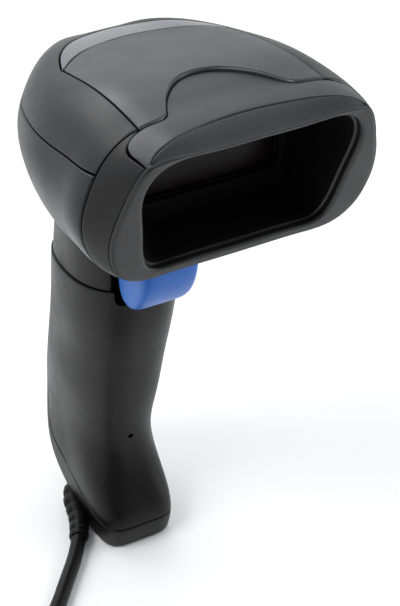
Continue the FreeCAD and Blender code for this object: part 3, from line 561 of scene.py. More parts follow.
def slot_block():
    """Block the size of the trigger's slot."""
    x0, x1, y0, y1, z0, z1 = SLOT
    shape = (((x0 + x1) / 2, (z0 + z1) / 2), (x1 - x0) / 2, (z1 - z0) / 2, 12.0)
    return bar("slot_block", [(y0, *shape), (y1, *shape)], 1, 48)


def release_pin():
    """Pin the size of the latch release hole, low on the front of the grip."""
    shape = ((0.0, RELEASE_Z), RELEASE_R, RELEASE_R, 2.0)
    return bar("release_pin", [(-20.0, *shape), (5.0, *shape)], 1, 24)


def oval(count, half_a, half_b, square):
    """Points of a level rounded outline, from +Y round +X."""
    turn = 2 * math.pi * np.arange(count) / count
    a = np.sign(np.sin(turn)) * np.abs(np.sin(turn)) ** (2 / square) * half_a
    b = np.sign(np.cos(turn)) * np.abs(np.cos(turn)) ** (2 / square) * half_b
    return a, b


def bar(name, stations, way, count=32):
    """Body along axis number way.

    Stations are (along, (middle a, middle b), half a, half b, squareness)."""
    rings = []
    for along, middle, half_a, half_b, square in stations:
        a, b = oval(count, half_a, half_b, square)
        ring = np.zeros((count, 3))
        others = [k for k in range(3) if k != way]
        ring[:, way] = along
        ring[:, others[0]] = middle[0] + a
        ring[:, others[1]] = middle[1] + b
        rings.append(ring)
    return loft(name, rings)


# ---- head mouldings ----
def visor_y(x):
    """Rear edge of the bezel's top in plan."""
    half = both_sides(VISOR_REAR)[::-1]
    curve = spline(half[:, 0], half[:, 1])
    return curve(np.clip(x, -VISOR_HALF, VISOR_HALF))


def corner_run(x):
    """How much further forward the visor's rear edge runs beyond its width."""
    return 2.4 * np.clip((np.abs(x) - VISOR_HALF) / 3.0, 0, 1)


def front_bezel():
    u = np.arange(AROUND) / PER_SPAN
    edge = surface(u, np.zeros(AROUND))
    inner = full_ring(face_half(FACE_INNER))
    wanted = visor_y(edge[:, 0])
    v_rear = np.full(AROUND, 0.6)
    fine = np.linspace(0.2, V_BAND, 120)
    top = (np.abs(edge[:, 0]) < 27.6) & (edge[:, 2] > 158)
    wanted = wanted - corner_run(edge[:, 0])
    for i in np.nonzero(top)[0]:
        ys = surface(np.full(120, u[i]), fine)[:, 1]
        v_rear[i] = max(0.6, np.interp(wanted[i], ys, fine))
    deep = np.clip((v_rear - 0.6) / 3.0, 0, 1)[:, None]
    drop = np.array([0.0, 0.0, VISOR_DROP]) * deep
    edge = edge - drop
    inward = inner - edge
    inward /= np.linalg.norm(inward, axis=1, keepdims=True)
    back = np.array([0.0, 1.0, 0.0])
    across = np.linalg.norm(inner - edge, axis=1)
    lip = np.minimum(1.15, across * 0.45)[:, None]
    n_rear = normals(np.array([surface(u, v_rear + s) for s in (-0.4, 0.0, 0.4)]), True)[1]
    n_front = normals(np.array([surface(u, np.full(AROUND, s)) for s in (0.4, 0.9, 1.4)]), True)[1]
    # rear edge, then the outer skin forward to the rounded front edge
    rear = surface(u, v_rear)
    grid = [rear - n_rear * HEAD_WALL, rear - n_rear * 0.3,
            surface(u, v_rear - 0.1) - n_rear * 0.08, surface(u, v_rear - 0.3)]
    for f in (0.75, 0.5, 0.25):
        grid.append(surface(u, (v_rear - 0.3) * f + 0.85 * (1 - f)) - drop * (1 - f) ** 1.3)
    start = surface(u, np.full(AROUND, 0.85)) - drop
    end = edge + inward * np.minimum(0.85, across * 0.3)[:, None]
    grid += [curl(start, edge, end, f) for f in (0.0, 0.25, 0.5, 0.75, 1.0)]
    # the face, the rounded inner edge and the step that seats the hood
    grid += [end + (inner - inward * lip - end) * f for f in (0.12, 0.35, 0.65, 0.88)]
    grid += [curl(inner - inward * lip, inner, inner + back * lip, f)
             for f in (0.0, 0.2, 0.4, 0.6, 0.8, 1.0)]
    grid += [inner + back * depth + inward * wide for depth, wide in BEZEL_STEP]
    thick = np.minimum(HEAD_WALL, across * 0.45)[:, None]
    grid.append(surface(u, np.full(AROUND, 2.0)) - n_front * (thick + 0.6))
    return hoop("bezel", grid, 60.0)


def hood_liner():
    inner = full_ring(face_half(FACE_INNER))[:, [0, 2]]
    centre = np.array([0.0, HOOD_CENTRE_Z])
    rel = inner - centre
    angle = np.arctan2(rel[:, 0], rel[:, 1])
    square = 9.0
    reach = (np.abs(np.sin(angle) / VIEW_HALF[0]) ** square
             + np.abs(np.cos(angle) / VIEW_HALF[1]) ** square) ** (-1 / square)
    view = np.stack([reach * np.sin(angle), reach * np.cos(angle)], axis=1)

    def ring(scale, extra, y=None, behind=None):
        flat = centre + rel * scale
        flat = flat + extra * rel / np.linalg.norm(rel, axis=1, keepdims=True)
        level = face_y(flat[:, 1], behind) if y is None else np.full(AROUND, float(y))
        return np.stack([flat[:, 0], level, flat[:, 1]], axis=1)

    def opening(y, grow=0.0):
        flat = centre + view * (1 + grow / 10.0)
        return np.stack([flat[:, 0], np.full(AROUND, float(y)), flat[:, 1]], axis=1)

    front = ring(0.985, 0.0, behind=2.5)
    rear = ring(0.815, 0.0, y=HOOD_REAR_Y)
    rows = [ring(0.985, 0.9, behind=2.6), ring(0.985, 0.3, behind=2.5)]
    rows += [front + (rear - front) * f for f in np.linspace(0.0, 1.0, 15)[1:-1]]
    wall = ring(0.80, -0.5, y=HOOD_REAR_Y)
    rows += [ring(0.815, -0.25, y=HOOD_REAR_Y - 0.1), wall, (wall + opening(HOOD_REAR_Y)) / 2,
             opening(HOOD_REAR_Y, 0.25), opening(HOOD_REAR_Y + 0.15), opening(HOOD_REAR_Y + 1.3),
             ring(0.85, 0.3, y=HOOD_REAR_Y + 1.3), ring(0.86, 0.6, y=HOOD_REAR_Y + 0.5)]
    return hoop("hood", rows, 45.0)


def over(x, y):
    """Points of the head's top over plan points."""
    return surface(*on_top(x, y))


def spread(count, sharp=0.35):
    """0 to 1, closer together towards both ends."""
    t = np.linspace(0, 1, count)
    return t - sharp * np.sin(2 * math.pi * t) / (2 * math.pi)


def panel_rear_y(x):
    curve = even(through(both_sides(PANEL_CREST[:-1])[::-1]), 400)
    return np.interp(x, curve[:, 0], curve[:, 1])


def front_top_panel():
    rear = even(through(both_sides(PANEL_CREST)), 121)
    front_x = rear[:, 0] / np.abs(rear[:, 0]).max() * (PANEL_HALF - 0.6)
    front_y = np.where(np.abs(front_x) < VISOR_HALF, visor_y(front_x) + GAP,
                       VISOR_REAR[-1][1] + GAP - corner_run(front_x))
    rows = []
    for f in spread(22):
        x = front_x + (rear[:, 0] - front_x) * f
        y = front_y + (rear[:, 1] - front_y) * f
        p = over(x, y)
        sink = np.clip((y - SINK_FROM) / SINK_OVER, 0, 1)
        p[:, 2] -= PANEL_SINK * sink * sink * (3 - 2 * sink)
        rows.append(p)
    return mould("panel_front", rows, PANEL_WALL, radius=0.4, steps=RIM_STEPS)


def grid_front(rows, columns):
    """Marks the first row of a grid, short of its corners."""
    first = np.zeros((rows, columns), bool)
    first[0, 4:-4] = True
    return first.reshape(-1)


def side_x(y):
    (x0, y0), (x1, y1) = PLATE_SIDE
    return x0 + (x1 - x0) * (y - y0) / (y1 - y0)


def top_plate():
    columns, rows = 81, 42
    front_half, front_limit = 22.6, -55.9
    rear_half = PLATE_SIDE[1][0]
    share = -np.cos(np.linspace(0, math.pi, columns))
    outline = both_sides(PLATE_REAR)[::-1]
    rear = spline(outline[:, 0], outline[:, 1])(np.clip(share * rear_half, -rear_half, rear_half))
    front = np.maximum(panel_rear_y(share * front_half) + GAP + 0.05, front_limit)
    grid = []
    for f in spread(rows):
        y = front + (rear - front) * f
        grid.append(over(share * side_x(y), y))
    return mould("plate_top", grid, PLATE_WALL,
                 radius=np.where(grid_front(rows, columns), 0.8, 0.28), steps=5)


def crescent_curves(grow_front, grow_rear):
    front = even(through(both_sides(PLATE_REAR)), 91)
    rear = even(through(both_sides(CRESCENT_REAR)), 91)
    front[:, 1] += grow_front
    rear[:, 1] += grow_rear
    front[:, 0] *= 1 + grow_rear / 25.0
    rear[:, 0] *= 1 + grow_rear / 25.0
    return front, rear


def status_lens():
    front, rear = crescent_curves(GAP, 0.0)
    front[:, 0] *= 1.004
    grid = []
    for f in spread(16, 0.2):
        flat = front + (rear - front) * f
        grid.append(over(flat[:, 0], flat[:, 1]))
    return mould("lens_status", grid, LENS_WALL, radius=0.25)


def seam_curve(offset, count):
    """The parting line of the head shells in (u, v), from its right front round the rear."""
    v_first = V_BAND + GAP
    v_fine = np.linspace(v_first, V_END - 0.3, 600)
    top = surface(np.zeros(600), v_fine)
    over = top[:, 2] - seam_z(top[:, 1]) - offset
    v_last = v_fine[np.nonzero(over > 0)[0][-1]]
    v = v_first + (v_last - v_first) * np.sin(np.linspace(0, math.pi / 2, 160))
    u = seam_u(v, offset)
    u[-1] = 0.0
    right = np.stack([u, v], axis=1)
    left = right[::-1][1:].copy()
    left[:, 0] *= -1
    path = np.concatenate([right, left])
    points = surface(path[:, 0], path[:, 1])
    length = chord(points)
    wanted = np.linspace(0, length[-1], count)
    return np.stack([np.interp(wanted, length, path[:, 0]),
                     np.interp(wanted, length, path[:, 1])], axis=1), v_last


def upper_shell():
    count = 181
    outer = seam_curve(GAP / 2, count)[0]
    seam = surface(outer[:, 0], outer[:, 1])
    crescent = crescent_curves(GAP, GAP)[1]
    side = np.linspace(BAND_Y + GAP, crescent[0, 1] - 1.0, 40)
    right = np.stack([side_x(side) + GAP, side], axis=1)
    left = right[::-1].copy()
    left[:, 0] *= -1
    inner_path = np.concatenate([right, crescent, left])
    length = chord(inner_path)
    wanted = np.linspace(0, length[-1], count)
    inner = np.stack([np.interp(wanted, length, inner_path[:, k]) for k in (0, 1)], axis=1)
    grid = []
    for f in spread(20)[:-1]:
        flat = inner + (seam[:, :2] - inner) * f
        grid.append(over(flat[:, 0], flat[:, 1]))
    return mould("shell_upper", grid + [seam], HEAD_WALL)


def nose_band():
    lobes = [(22.9, -55.4), (23.3, -56.2), (25.0, -57.4), (27.0, -58.6), (27.75, -60.5),
             (27.65, -62.5), (27.3, -65), (26.9, -68), (26.8, -72)]
    lobe = even(through(lobes), 200)
    rows, columns = 12, 200
    v_front = 0.6 + GAP
    grid = []
    for f in spread(rows):
        v = v_front + (V_BAND - v_front) * f
        low, high = 0.5, 7.0
        for _ in range(40):
            mid = (low + high) / 2
            p = surface(mid, v)
            if p[0] > np.interp(-p[1], -lobe[:, 1], lobe[:, 0]):
                high = mid
            else:
                low = mid
        u = np.linspace(high, 24 - high, columns)
        grid.append(surface(u, np.full(columns, v)))
    return mould("band_nose", grid, LOWER_WALL, radius=0.35, steps=RIM_STEPS)


def lower_shell():
    v_last = seam_curve(-GAP / 2, 200)[1]
    v_first = V_BAND + GAP
    columns, rows, cap_rows = 161, 66, 7
    grid = []
    along = v_first + (v_last - v_first) * spread(rows, 0.5)
    for v in along:
        high = float(seam_u(np.array(v), -GAP / 2)) if v < along[-1] else 0.0
        grid.append(surface(np.linspace(high, 24 - high, columns), np.full(columns, v)))
    # behind the seam's end the shell closes over the whole rear
    for k in range(1, cap_rows + 1):
        v = v_last + (V_END - v_last) * k / cap_rows
        grid.append(surface(np.linspace(0, 24, columns), np.full(columns, v)))
    body = mould("shell_lower", grid, LOWER_WALL, radius=0.55, steps=RIM_STEPS)
    return cut(body, [slot_block()])


def product_label():
    """Blank label on the lower left of the head."""
    v_fine = np.linspace(V_BAND, V_END - 2.0, 160)
    u_fine = np.linspace(13.0, 20.0, 240)
    uu, vv = np.meshgrid(u_fine, v_fine)
    flat = surface(uu, vv).reshape(-1, 3)
    spots = []
    for corner in LABEL_CORNERS:
        k = int(np.argmin(np.sum((flat - np.array(corner)) ** 2, axis=1)))
        spots.append((uu.reshape(-1)[k], vv.reshape(-1)[k]))
    a, b, c, d = [np.array(spot) for spot in spots]
    s, t = np.meshgrid(np.linspace(0, 1, 15), np.linspace(0, 1, 25))
    s, t = s[..., None], t[..., None]
    path = (1 - s) * ((1 - t) * a + t * d) + s * ((1 - t) * b + t * c)
    points = surface(path[..., 0], path[..., 1])
    n = normals(points)
    n = n * np.sign(np.sum(n * (points - np.array(HEAD_MIDDLE)), axis=-1, keepdims=True))
    return mould("label", points + n * LABEL_PROUD, 0.3, radius=0.06)


# ---- grip ----
SECTION = spline([-row[0] for row in GRIP_SECTIONS], [row[1:] for row in GRIP_SECTIONS])


def grip_point(angle, z, grow):
    """Point of the grip at an angle from the rear (0) round the right (quarter turn) at z."""
    angle, z = np.broadcast_arrays(np.asarray(angle, float), np.asarray(z, float))
    row = SECTION(-z)
    power = 2 / row[..., 3]
    s, c = np.sin(angle), np.cos(angle)
    x = np.sign(s) * np.abs(s) ** power * (row[..., 1] + grow)
    y = row[..., 0] + np.sign(c) * np.abs(c) ** power * (row[..., 2] + grow)
    return np.stack([x, y, z], axis=-1)


def grip_normals(flat):
    """Outward unit normals of the grip at angles and heights."""
    angle, z = flat[..., 0], flat[..., 1]
    across = grip_point(angle + 0.04, z, COLLAR_STEP) - grip_point(angle - 0.04, z, COLLAR_STEP)
    up = grip_point(angle, z + 0.5, COLLAR_STEP) - grip_point(angle, z - 0.5, COLLAR_STEP)
    n = np.cross(up, across)
    return n / np.linalg.norm(n, axis=-1, keepdims=True)


def grip_angle(y, z, grow):
    """Angle on the right side at which the grip is at that y."""
    row = SECTION(-np.asarray(z, float))
    c = np.clip((y - row[..., 0]) / (row[..., 2] + grow), -1, 1)
    return np.arccos(np.sign(c) * np.abs(c) ** (row[..., 3] / 2))


def underside_z(y):
    y = np.asarray(y, float)
    curve = even(through(UNDERSIDE), 300)
    return np.where(y < UNDERSIDE[0][0], 0.0, np.interp(y, curve[:, 0], curve[:, 1]))


def grip_seam(offset):
    """Parting line on the right as angles and heights: down the side, and the rim to the toe."""
    path = even(through(GRIP_SEAM), 600)
    path = path + np.array([offset, -offset])
    row = SECTION(-path[:, 1])
    front = row[:, 0] - row[:, 2] - COLLAR_STEP
    path = path[(path[:, 1] < COLLAR_Z - GAP + 0.01) & (path[:, 0] > front)]
    angle = grip_angle(path[:, 0], path[:, 1], COLLAR_STEP)
    angle[-1] = math.pi
    corner = int(np.argmin(np.abs(path[:, 1] - SEAM_TURN[1])
                           + np.abs(path[:, 0] - SEAM_TURN[0])))
    curve = np.stack([angle, path[:, 1]], axis=1)
    curve[0, 1] = COLLAR_Z - GAP
    return resample(curve[:corner + 1], GRIP_ROWS), resample(curve[corner:], RIM_COLUMNS)


def resample(path, count):
    path = np.asarray(path, float)
    points = grip_point(path[:, 0], path[:, 1], COLLAR_STEP)
    length = chord(points)
    wanted = np.linspace(0, length[-1], count)
    return np.stack([np.interp(wanted, length, path[:, k]) for k in range(2)], axis=1)


def coons(top, bottom, left, right):
    """Grid between four edges; top and bottom run left to right, left and right downwards."""
    rows, columns = len(left), len(top)
    s = np.linspace(0, 1, columns)[None, :, None]
    t = np.linspace(0, 1, rows)[:, None, None]
    ruled = (1 - t) * top[None] + t * bottom[None] + (1 - s) * left[:, None] + s * right[:, None]
    corners = ((1 - s) * (1 - t) * top[0] + s * (1 - t) * top[-1]
               + (1 - s) * t * bottom[0] + s * t * bottom[-1])
    return ruled - corners


def mirrored(path):
    path = np.asarray(path, float).copy()
    path[:, 0] = 2 * math.pi - path[:, 0]
    return path


def grip_front():
    side, rim = grip_seam(-GAP / 2)
    bottom = np.concatenate([rim, mirrored(rim)[::-1][1:]])
    top = np.linspace(side[0, 0], 2 * math.pi - side[0, 0], len(bottom))
    top = np.stack([top, np.full(len(bottom), COLLAR_Z - GAP)], axis=1)
    flat = coons(top, bottom, side, mirrored(side))
    half = mould("half_grip_front", grip_point(flat[..., 0], flat[..., 1], COLLAR_STEP), GRIP_WALL,
                 radius=0.35, steps=RIM_STEPS, middle=GRIP_MIDDLE,
                 away=grip_normals(flat).reshape(-1, 3))
    return cut(half, [slot_block(), release_pin()])


def grip_rear():
    side, rim = grip_seam(GAP / 2)
    # rear columns run from the right seam round the rear to the left seam
    rear_columns, rear_rise = 61, 12.0
    top = np.stack([np.linspace(side[0, 0], side[0, 0] - 2 * side[0, 0], rear_columns),
                    np.full(rear_columns, COLLAR_Z - GAP)], axis=1)
    corner = side[-1]
    level = np.linspace(corner[0], -corner[0], rear_columns)
    rise = rear_rise * np.cos(level / corner[0] * math.pi / 2)
    bottom = np.stack([level, corner[1] + rise], axis=1)
    flat = coons(top, bottom, side, side * (-1, 1))
    main = grip_point(flat[..., 0], flat[..., 1], COLLAR_STEP)
    # one ring round the whole toe: its upper edge follows the rear base line, then the rim
    upper = np.concatenate([bottom[::-1][:-1], rim, mirrored(rim)[::-1][1:-1]])
    low_z = np.zeros(len(upper))
    for _ in range(60):
        p = grip_point(upper[:, 0], low_z, COLLAR_STEP)
        low_z = 0.5 * low_z + 0.5 * np.maximum(underside_z(p[:, 1]), 0.0)
    low = np.minimum(low_z, upper[:, 1] - 0.8)
    low_points = grip_point(upper[:, 0], low, COLLAR_STEP)
    middle = np.array([0.0, 14.0])
    radius = 1.1            # of the edge under the foot
    toward = middle - low_points[:, :2]
    toward /= np.maximum(np.linalg.norm(toward, axis=1, keepdims=True), 1e-6)
    floor_start = low_points.copy()
    floor_start[:, :2] += toward * radius
    floor_start[:, 2] = underside_z(floor_start[:, 1])
    wall_z = np.minimum(low + radius, upper[:, 1] - 0.4)
    wall_start = grip_point(upper[:, 0], wall_z, COLLAR_STEP)
    rows = [grip_point(upper[:, 0], upper[:, 1] + (wall_z - upper[:, 1]) * f, COLLAR_STEP)
            for f in np.linspace(0, 1, 9)]
    rows += [curl(wall_start, low_points, floor_start, f) for f in (0.25, 0.5, 0.75, 1.0)]
    for f in (0.85, 0.7, 0.5, 0.3, 0.12, 0.0):
        ring = floor_start.copy()
        ring[:, :2] = middle + (floor_start[:, :2] - middle) * f
        ring[:, 2] = underside_z(ring[:, 1])
        rows.append(ring)
    verts = np.concatenate([main.reshape(-1, 3), np.array(rows).reshape(-1, 3)])
    ring_faces = grid_faces(len(rows), len(upper), wrap_u=True, start=GRIP_ROWS * rear_columns)
    faces = outwards(verts, grid_faces(GRIP_ROWS, rear_columns), GRIP_MIDDLE)
    return slab("half_grip_rear", verts, faces + outwards(verts, ring_faces, GRIP_MIDDLE),
                GRIP_WALL, radius=0.35, steps=RIM_STEPS, middle=GRIP_MIDDLE)


def neck():
    """Neck of the lower shell: a collar open at the front, flared into the head."""
    columns = 97
    first = math.asin(8.6 / 15.5)           # half the opening in front, over the neck's half depth
    angle = np.linspace(-(math.pi - first), math.pi - first, columns)
    u_fine, v_fine = np.meshgrid(np.linspace(7.5, 16.5, 73), np.linspace(V_BAND + 15, V_END, 100))
    belly = surface(u_fine, v_fine).reshape(-1, 3)
    levels = np.linspace(103, 128, 26)
    gaps = np.zeros((len(levels), columns))
    for k, z in enumerate(levels):
        p = grip_point(angle, z, 0.0)
        gaps[k] = np.sqrt(((p[:, None] - belly[None]) ** 2).sum(axis=2)).min(axis=1)
    top_z = levels[np.argmin(gaps, axis=0)]
    kernel = np.ones(9) / 9
    for _ in range(2):
        top_z = np.convolve(np.pad(top_z, 4, mode="edge"), kernel, mode="valid")
    front = np.clip((0.7 - np.cos(angle)) / 0.7, 0, 1)
    flare = 0.15 + 4.15 * front
    rows = [grip_point(angle, COLLAR_Z + (top_z - flare - COLLAR_Z) * f, 0.0)
            for f in np.linspace(0, 1, 22)]
    way = grip_point(angle, top_z, 1.0) - grip_point(angle, top_z, 0.0)
    way[:, 2] = 0
    way /= np.maximum(np.linalg.norm(way, axis=1, keepdims=True), 1e-6)
    for turn in np.linspace(0, math.pi / 2, 9)[1:]:
        base = grip_point(angle, top_z - flare + flare * math.sin(turn), 0.0)
        rows.append(base + way * (flare * (1 - math.cos(turn)))[:, None])
    # the edge runs into the head
    last = rows[-1].copy()
    last[:, 2] += 1.2
    last += way * (1.8 * front - 1.0)[:, None]
    return mould("neck", rows + [last], 2.0, middle=(0.0, 3.0, 100.0))


# ---- trigger ----
def trigger():
    ring = closed(TRIGGER_PROFILE, 8)
    middle = np.array(TRIGGER_PROFILE).mean(axis=0)
    rel = ring - middle
    reach = np.linalg.norm(rel, axis=1, keepdims=True)
    half = TRIGGER_HALF_WIDTH
    side = [(0.0, 6.0), (0.0, 3.6), (0.04, 2.6), (0.2, 1.7), (0.55, 1.0), (1.1, 0.5), (1.9, 0.18),
            (3.4, 0.02), (5.6, 0.0)]
    stations = [(-half + x, inset) for x, inset in side] + [(0.0, 0.0)]
    stations += [(half - x, inset) for x, inset in reversed(side)]
    rings = []
    for x, inset in stations:
        flat = middle + rel * (reach - inset) / reach
        rings.append(np.column_stack([np.full(len(flat), x), flat]))
    return loft("trigger", rings, smooth=60.0)


# ---- cord ----
def strain_relief():
    path = even(through(RELIEF_ROUTE), 160)
    length = chord(path)
    total = length[-1]
    rings = []
    start, ribs = RELIEF_PLAIN, RELIEF_RIBS
    pitch = (total - start - 1.5) / ribs
    for i, p in enumerate(path):
        a = path[max(i - 1, 0)]
        b = path[min(i + 1, len(path) - 1)]
        way = (b - a) / np.linalg.norm(b - a)
        side = np.cross(way, (0.2, 0.1, 1.0))
        side /= np.linalg.norm(side)
        up = np.cross(side, way)
        s = length[i]
        size = RELIEF_R - 0.3 * s / total
        if s > start:
            phase = ((s - start) / pitch) % 1.0
            size -= 0.75 * (1 / (1 + math.exp(-(phase - 0.62) / 0.05))
                            - 1 / (1 + math.exp(-(phase - 0.95) / 0.04)))
        if s > total - 0.8:
            size -= 0.35 * (s - total + 0.8)
        turn = 2 * math.pi * np.arange(28) / 28
        rings.append(p + np.outer(np.cos(turn), side) * size + np.outer(np.sin(turn), up) * size)
    return loft("relief", rings, smooth=55.0)


def cord_points():
    """Route of the whole free cord: out of the foot, over the table, its turns, to the plug."""
    points = [np.array(p, float) for p in CORD_ROUTE]
    cx, cy = COIL_CENTRE
    first = math.radians(COIL_START)
    total = 2 * LAYER_TURNS + CROSSING_TURNS
    steps = int(round(total * POINTS_PER_TURN))
    inner, outer = COIL_R
    for i in range(steps + 1):
        t = total * i / steps
        if t < LAYER_TURNS:
            radius = outer + (inner - outer) * t / LAYER_TURNS
            z = COIL_Z[0]
        elif t < LAYER_TURNS + CROSSING_TURNS:
            share = (t - LAYER_TURNS) / CROSSING_TURNS
            radius = inner
            z = COIL_Z[0] + (COIL_Z[1] - COIL_Z[0]) * share * share * (3 - 2 * share)
        else:
            radius = inner + (outer - inner) * (t - LAYER_TURNS - CROSSING_TURNS) / LAYER_TURNS
            z = COIL_Z[1]
        angle = first + 2 * math.pi * t
        points.append(np.array([cx + radius * math.cos(angle), cy + radius * math.sin(angle), z]))
    points += [np.array(p, float) for p in END_ROUTE[1:]]
    return np.array(points)


def cord():
    points = cord_points()
    curve = bpy.data.curves.new("cord", "CURVE")
    curve.dimensions = "3D"
    curve.bevel_depth = CORD_R * MM
    curve.bevel_resolution = 6
    curve.resolution_u = 6
    curve.use_fill_caps = True
    line = curve.splines.new("NURBS")
    line.points.add(len(points) - 1)
    for spot, p in zip(line.points, points):
        spot.co = (p[0] * MM, p[1] * MM, p[2] * MM, 1.0)
    line.order_u = 3
    line.use_endpoint_u = True
    return link("cord_lead", curve), float(chord(points)[-1]) * MM


def cord_tie():
    """Woven strap round the coil's turns."""
    low, high = COIL_Z[0] - CORD_R - 0.45, COIL_Z[1] + CORD_R + 0.45
    inner, outer = COIL_R[0] - CORD_R - 0.9, COIL_R[1] + CORD_R + 0.45
    a, b = oval(72, (outer - inner) / 2, (high - low) / 2, 6.0)
    radial = (outer + inner) / 2 + a
    z = (high + low) / 2 + b
    turn = math.radians(TIE_TURN)
    out = np.array([math.cos(turn), math.sin(turn), 0])
    along = np.array([-math.sin(turn), math.cos(turn), 0])
    rows = []
    for w in np.linspace(-4.5, 4.5, 9):
        p = np.outer(radial, out) + w * along
        p[:, 2] = z
        p[:, :2] += COIL_CENTRE
        rows.append(p)
    return slab("strap", np.array(rows).reshape(-1, 3), grid_faces(9, 72, wrap_u=True), 0.7,
                radius=0.2, middle=np.array([*(np.array(COIL_CENTRE) + out[:2] * 25.8), 5.25]))


def usb_boot():
    """Ribbed sleeve behind the plug's grip."""
    stations = []
    for i in range(11):
        f = i / 10.0
        for step, groove in ((-0.35, 0.3), (-0.2, 0.0), (0.35, 0.0), (0.5, 0.3)):
            x = -14.0 + 10 * f + step
            size = 2.65 + 0.9 * f - groove
            if -14.0 <= x <= -4.0:
                stations.append((x, (USB_Y, USB_Z), size, size, 2.0))
    return bar("plug_boot", stations, 0)


def usb_body():
    """Moulded grip of the plug, waisted in the middle."""
    return bar("plug_body", [(x, (USB_Y, USB_Z), *shape) for x, *shape in USB_GRIP], 0, 64)


def usb_shell():
    """Folded shell of the plug: outside to the mouth, and back inside."""
    rows = []
    outside = [(x, 0.0) for x in (21.0, 24.0, 27.0, 30.0, 33.3)] + [(33.5, 0.12)]
    for x, inset in outside + [(x, 0.3) for x in (33.4, 30.0, 27.0, 24.0, 21.0)]:
        a, b = oval(64, 6 - inset, 2.25 - inset, 14.0)
        rows.append(np.column_stack([np.full(64, x), USB_Y + a, USB_Z + b]))
    return hoop("plug_shell", rows, 30.0)


# ---- finishes ----
def add_node(tree, kind, source=None, **inputs):
    """New node with its inputs set; the source goes into its first input."""
    node = tree.nodes.new(kind)
    for name, value in inputs.items():
        node.inputs[name.replace("_", " ")].default_value = value
    if source:
        tree.links.new(source, node.inputs[0])
    return node


def material(name, colour, rough, grain=0.0, grain_size=2600.0, metal=0.0, coat=0.0, clear=0.0,
             spread_rough=0.08, tint=0.12, stretch=None, ior=1.46, shine=0.5):
    """Procedural finish: fine grain in tint and bump, and cloudy roughness."""
    mat = bpy.data.materials.new(name)
    mat.use_nodes = True
    tree = mat.node_tree
    tree.nodes.clear()
    shader = add_node(tree, "ShaderNodeBsdfPrincipled", Metallic=metal, IOR=ior,
                      Specular_IOR_Level=shine, Coat_Weight=coat, Coat_Roughness=0.12,
                      Transmission_Weight=clear)
    add_node(tree, "ShaderNodeOutputMaterial", shader.outputs[0])
    where = add_node(tree, "ShaderNodeTexCoord").outputs["Object"]
    if stretch:
        where = add_node(tree, "ShaderNodeMapping", where, Scale=stretch).outputs["Vector"]
    cloud = add_node(tree, "ShaderNodeTexNoise", where, Scale=55.0, Detail=4.0, Roughness=0.6)
    fine = add_node(tree, "ShaderNodeTexNoise", where, Scale=grain_size, Detail=3.0, Roughness=0.6)
    ramp = add_node(tree, "ShaderNodeMapRange", cloud.outputs["Fac"], From_Min=0.3, From_Max=0.7,
                    To_Min=max(0.02, rough - spread_rough), To_Max=min(1.0, rough + spread_rough))
    tree.links.new(ramp.outputs["Result"], shader.inputs["Roughness"])
    mix = tree.nodes.new("ShaderNodeMix")
    mix.data_type = "RGBA"
    mix.inputs["A"].default_value = (*[c * (1 - tint) for c in colour], 1.0)
    mix.inputs["B"].default_value = (*[min(1.0, c * (1 + tint)) for c in colour], 1.0)
    tree.links.new(fine.outputs["Fac"], mix.inputs["Factor"])
    tree.links.new(mix.outputs["Result"], shader.inputs["Base Color"])
    if grain:
        bump = add_node(tree, "ShaderNodeBump", Strength=grain, Distance=GRAIN_DEPTH)
        tree.links.new(fine.outputs["Fac"], bump.inputs["Height"])
        tree.links.new(bump.outputs["Normal"], shader.inputs["Normal"])
    return mat


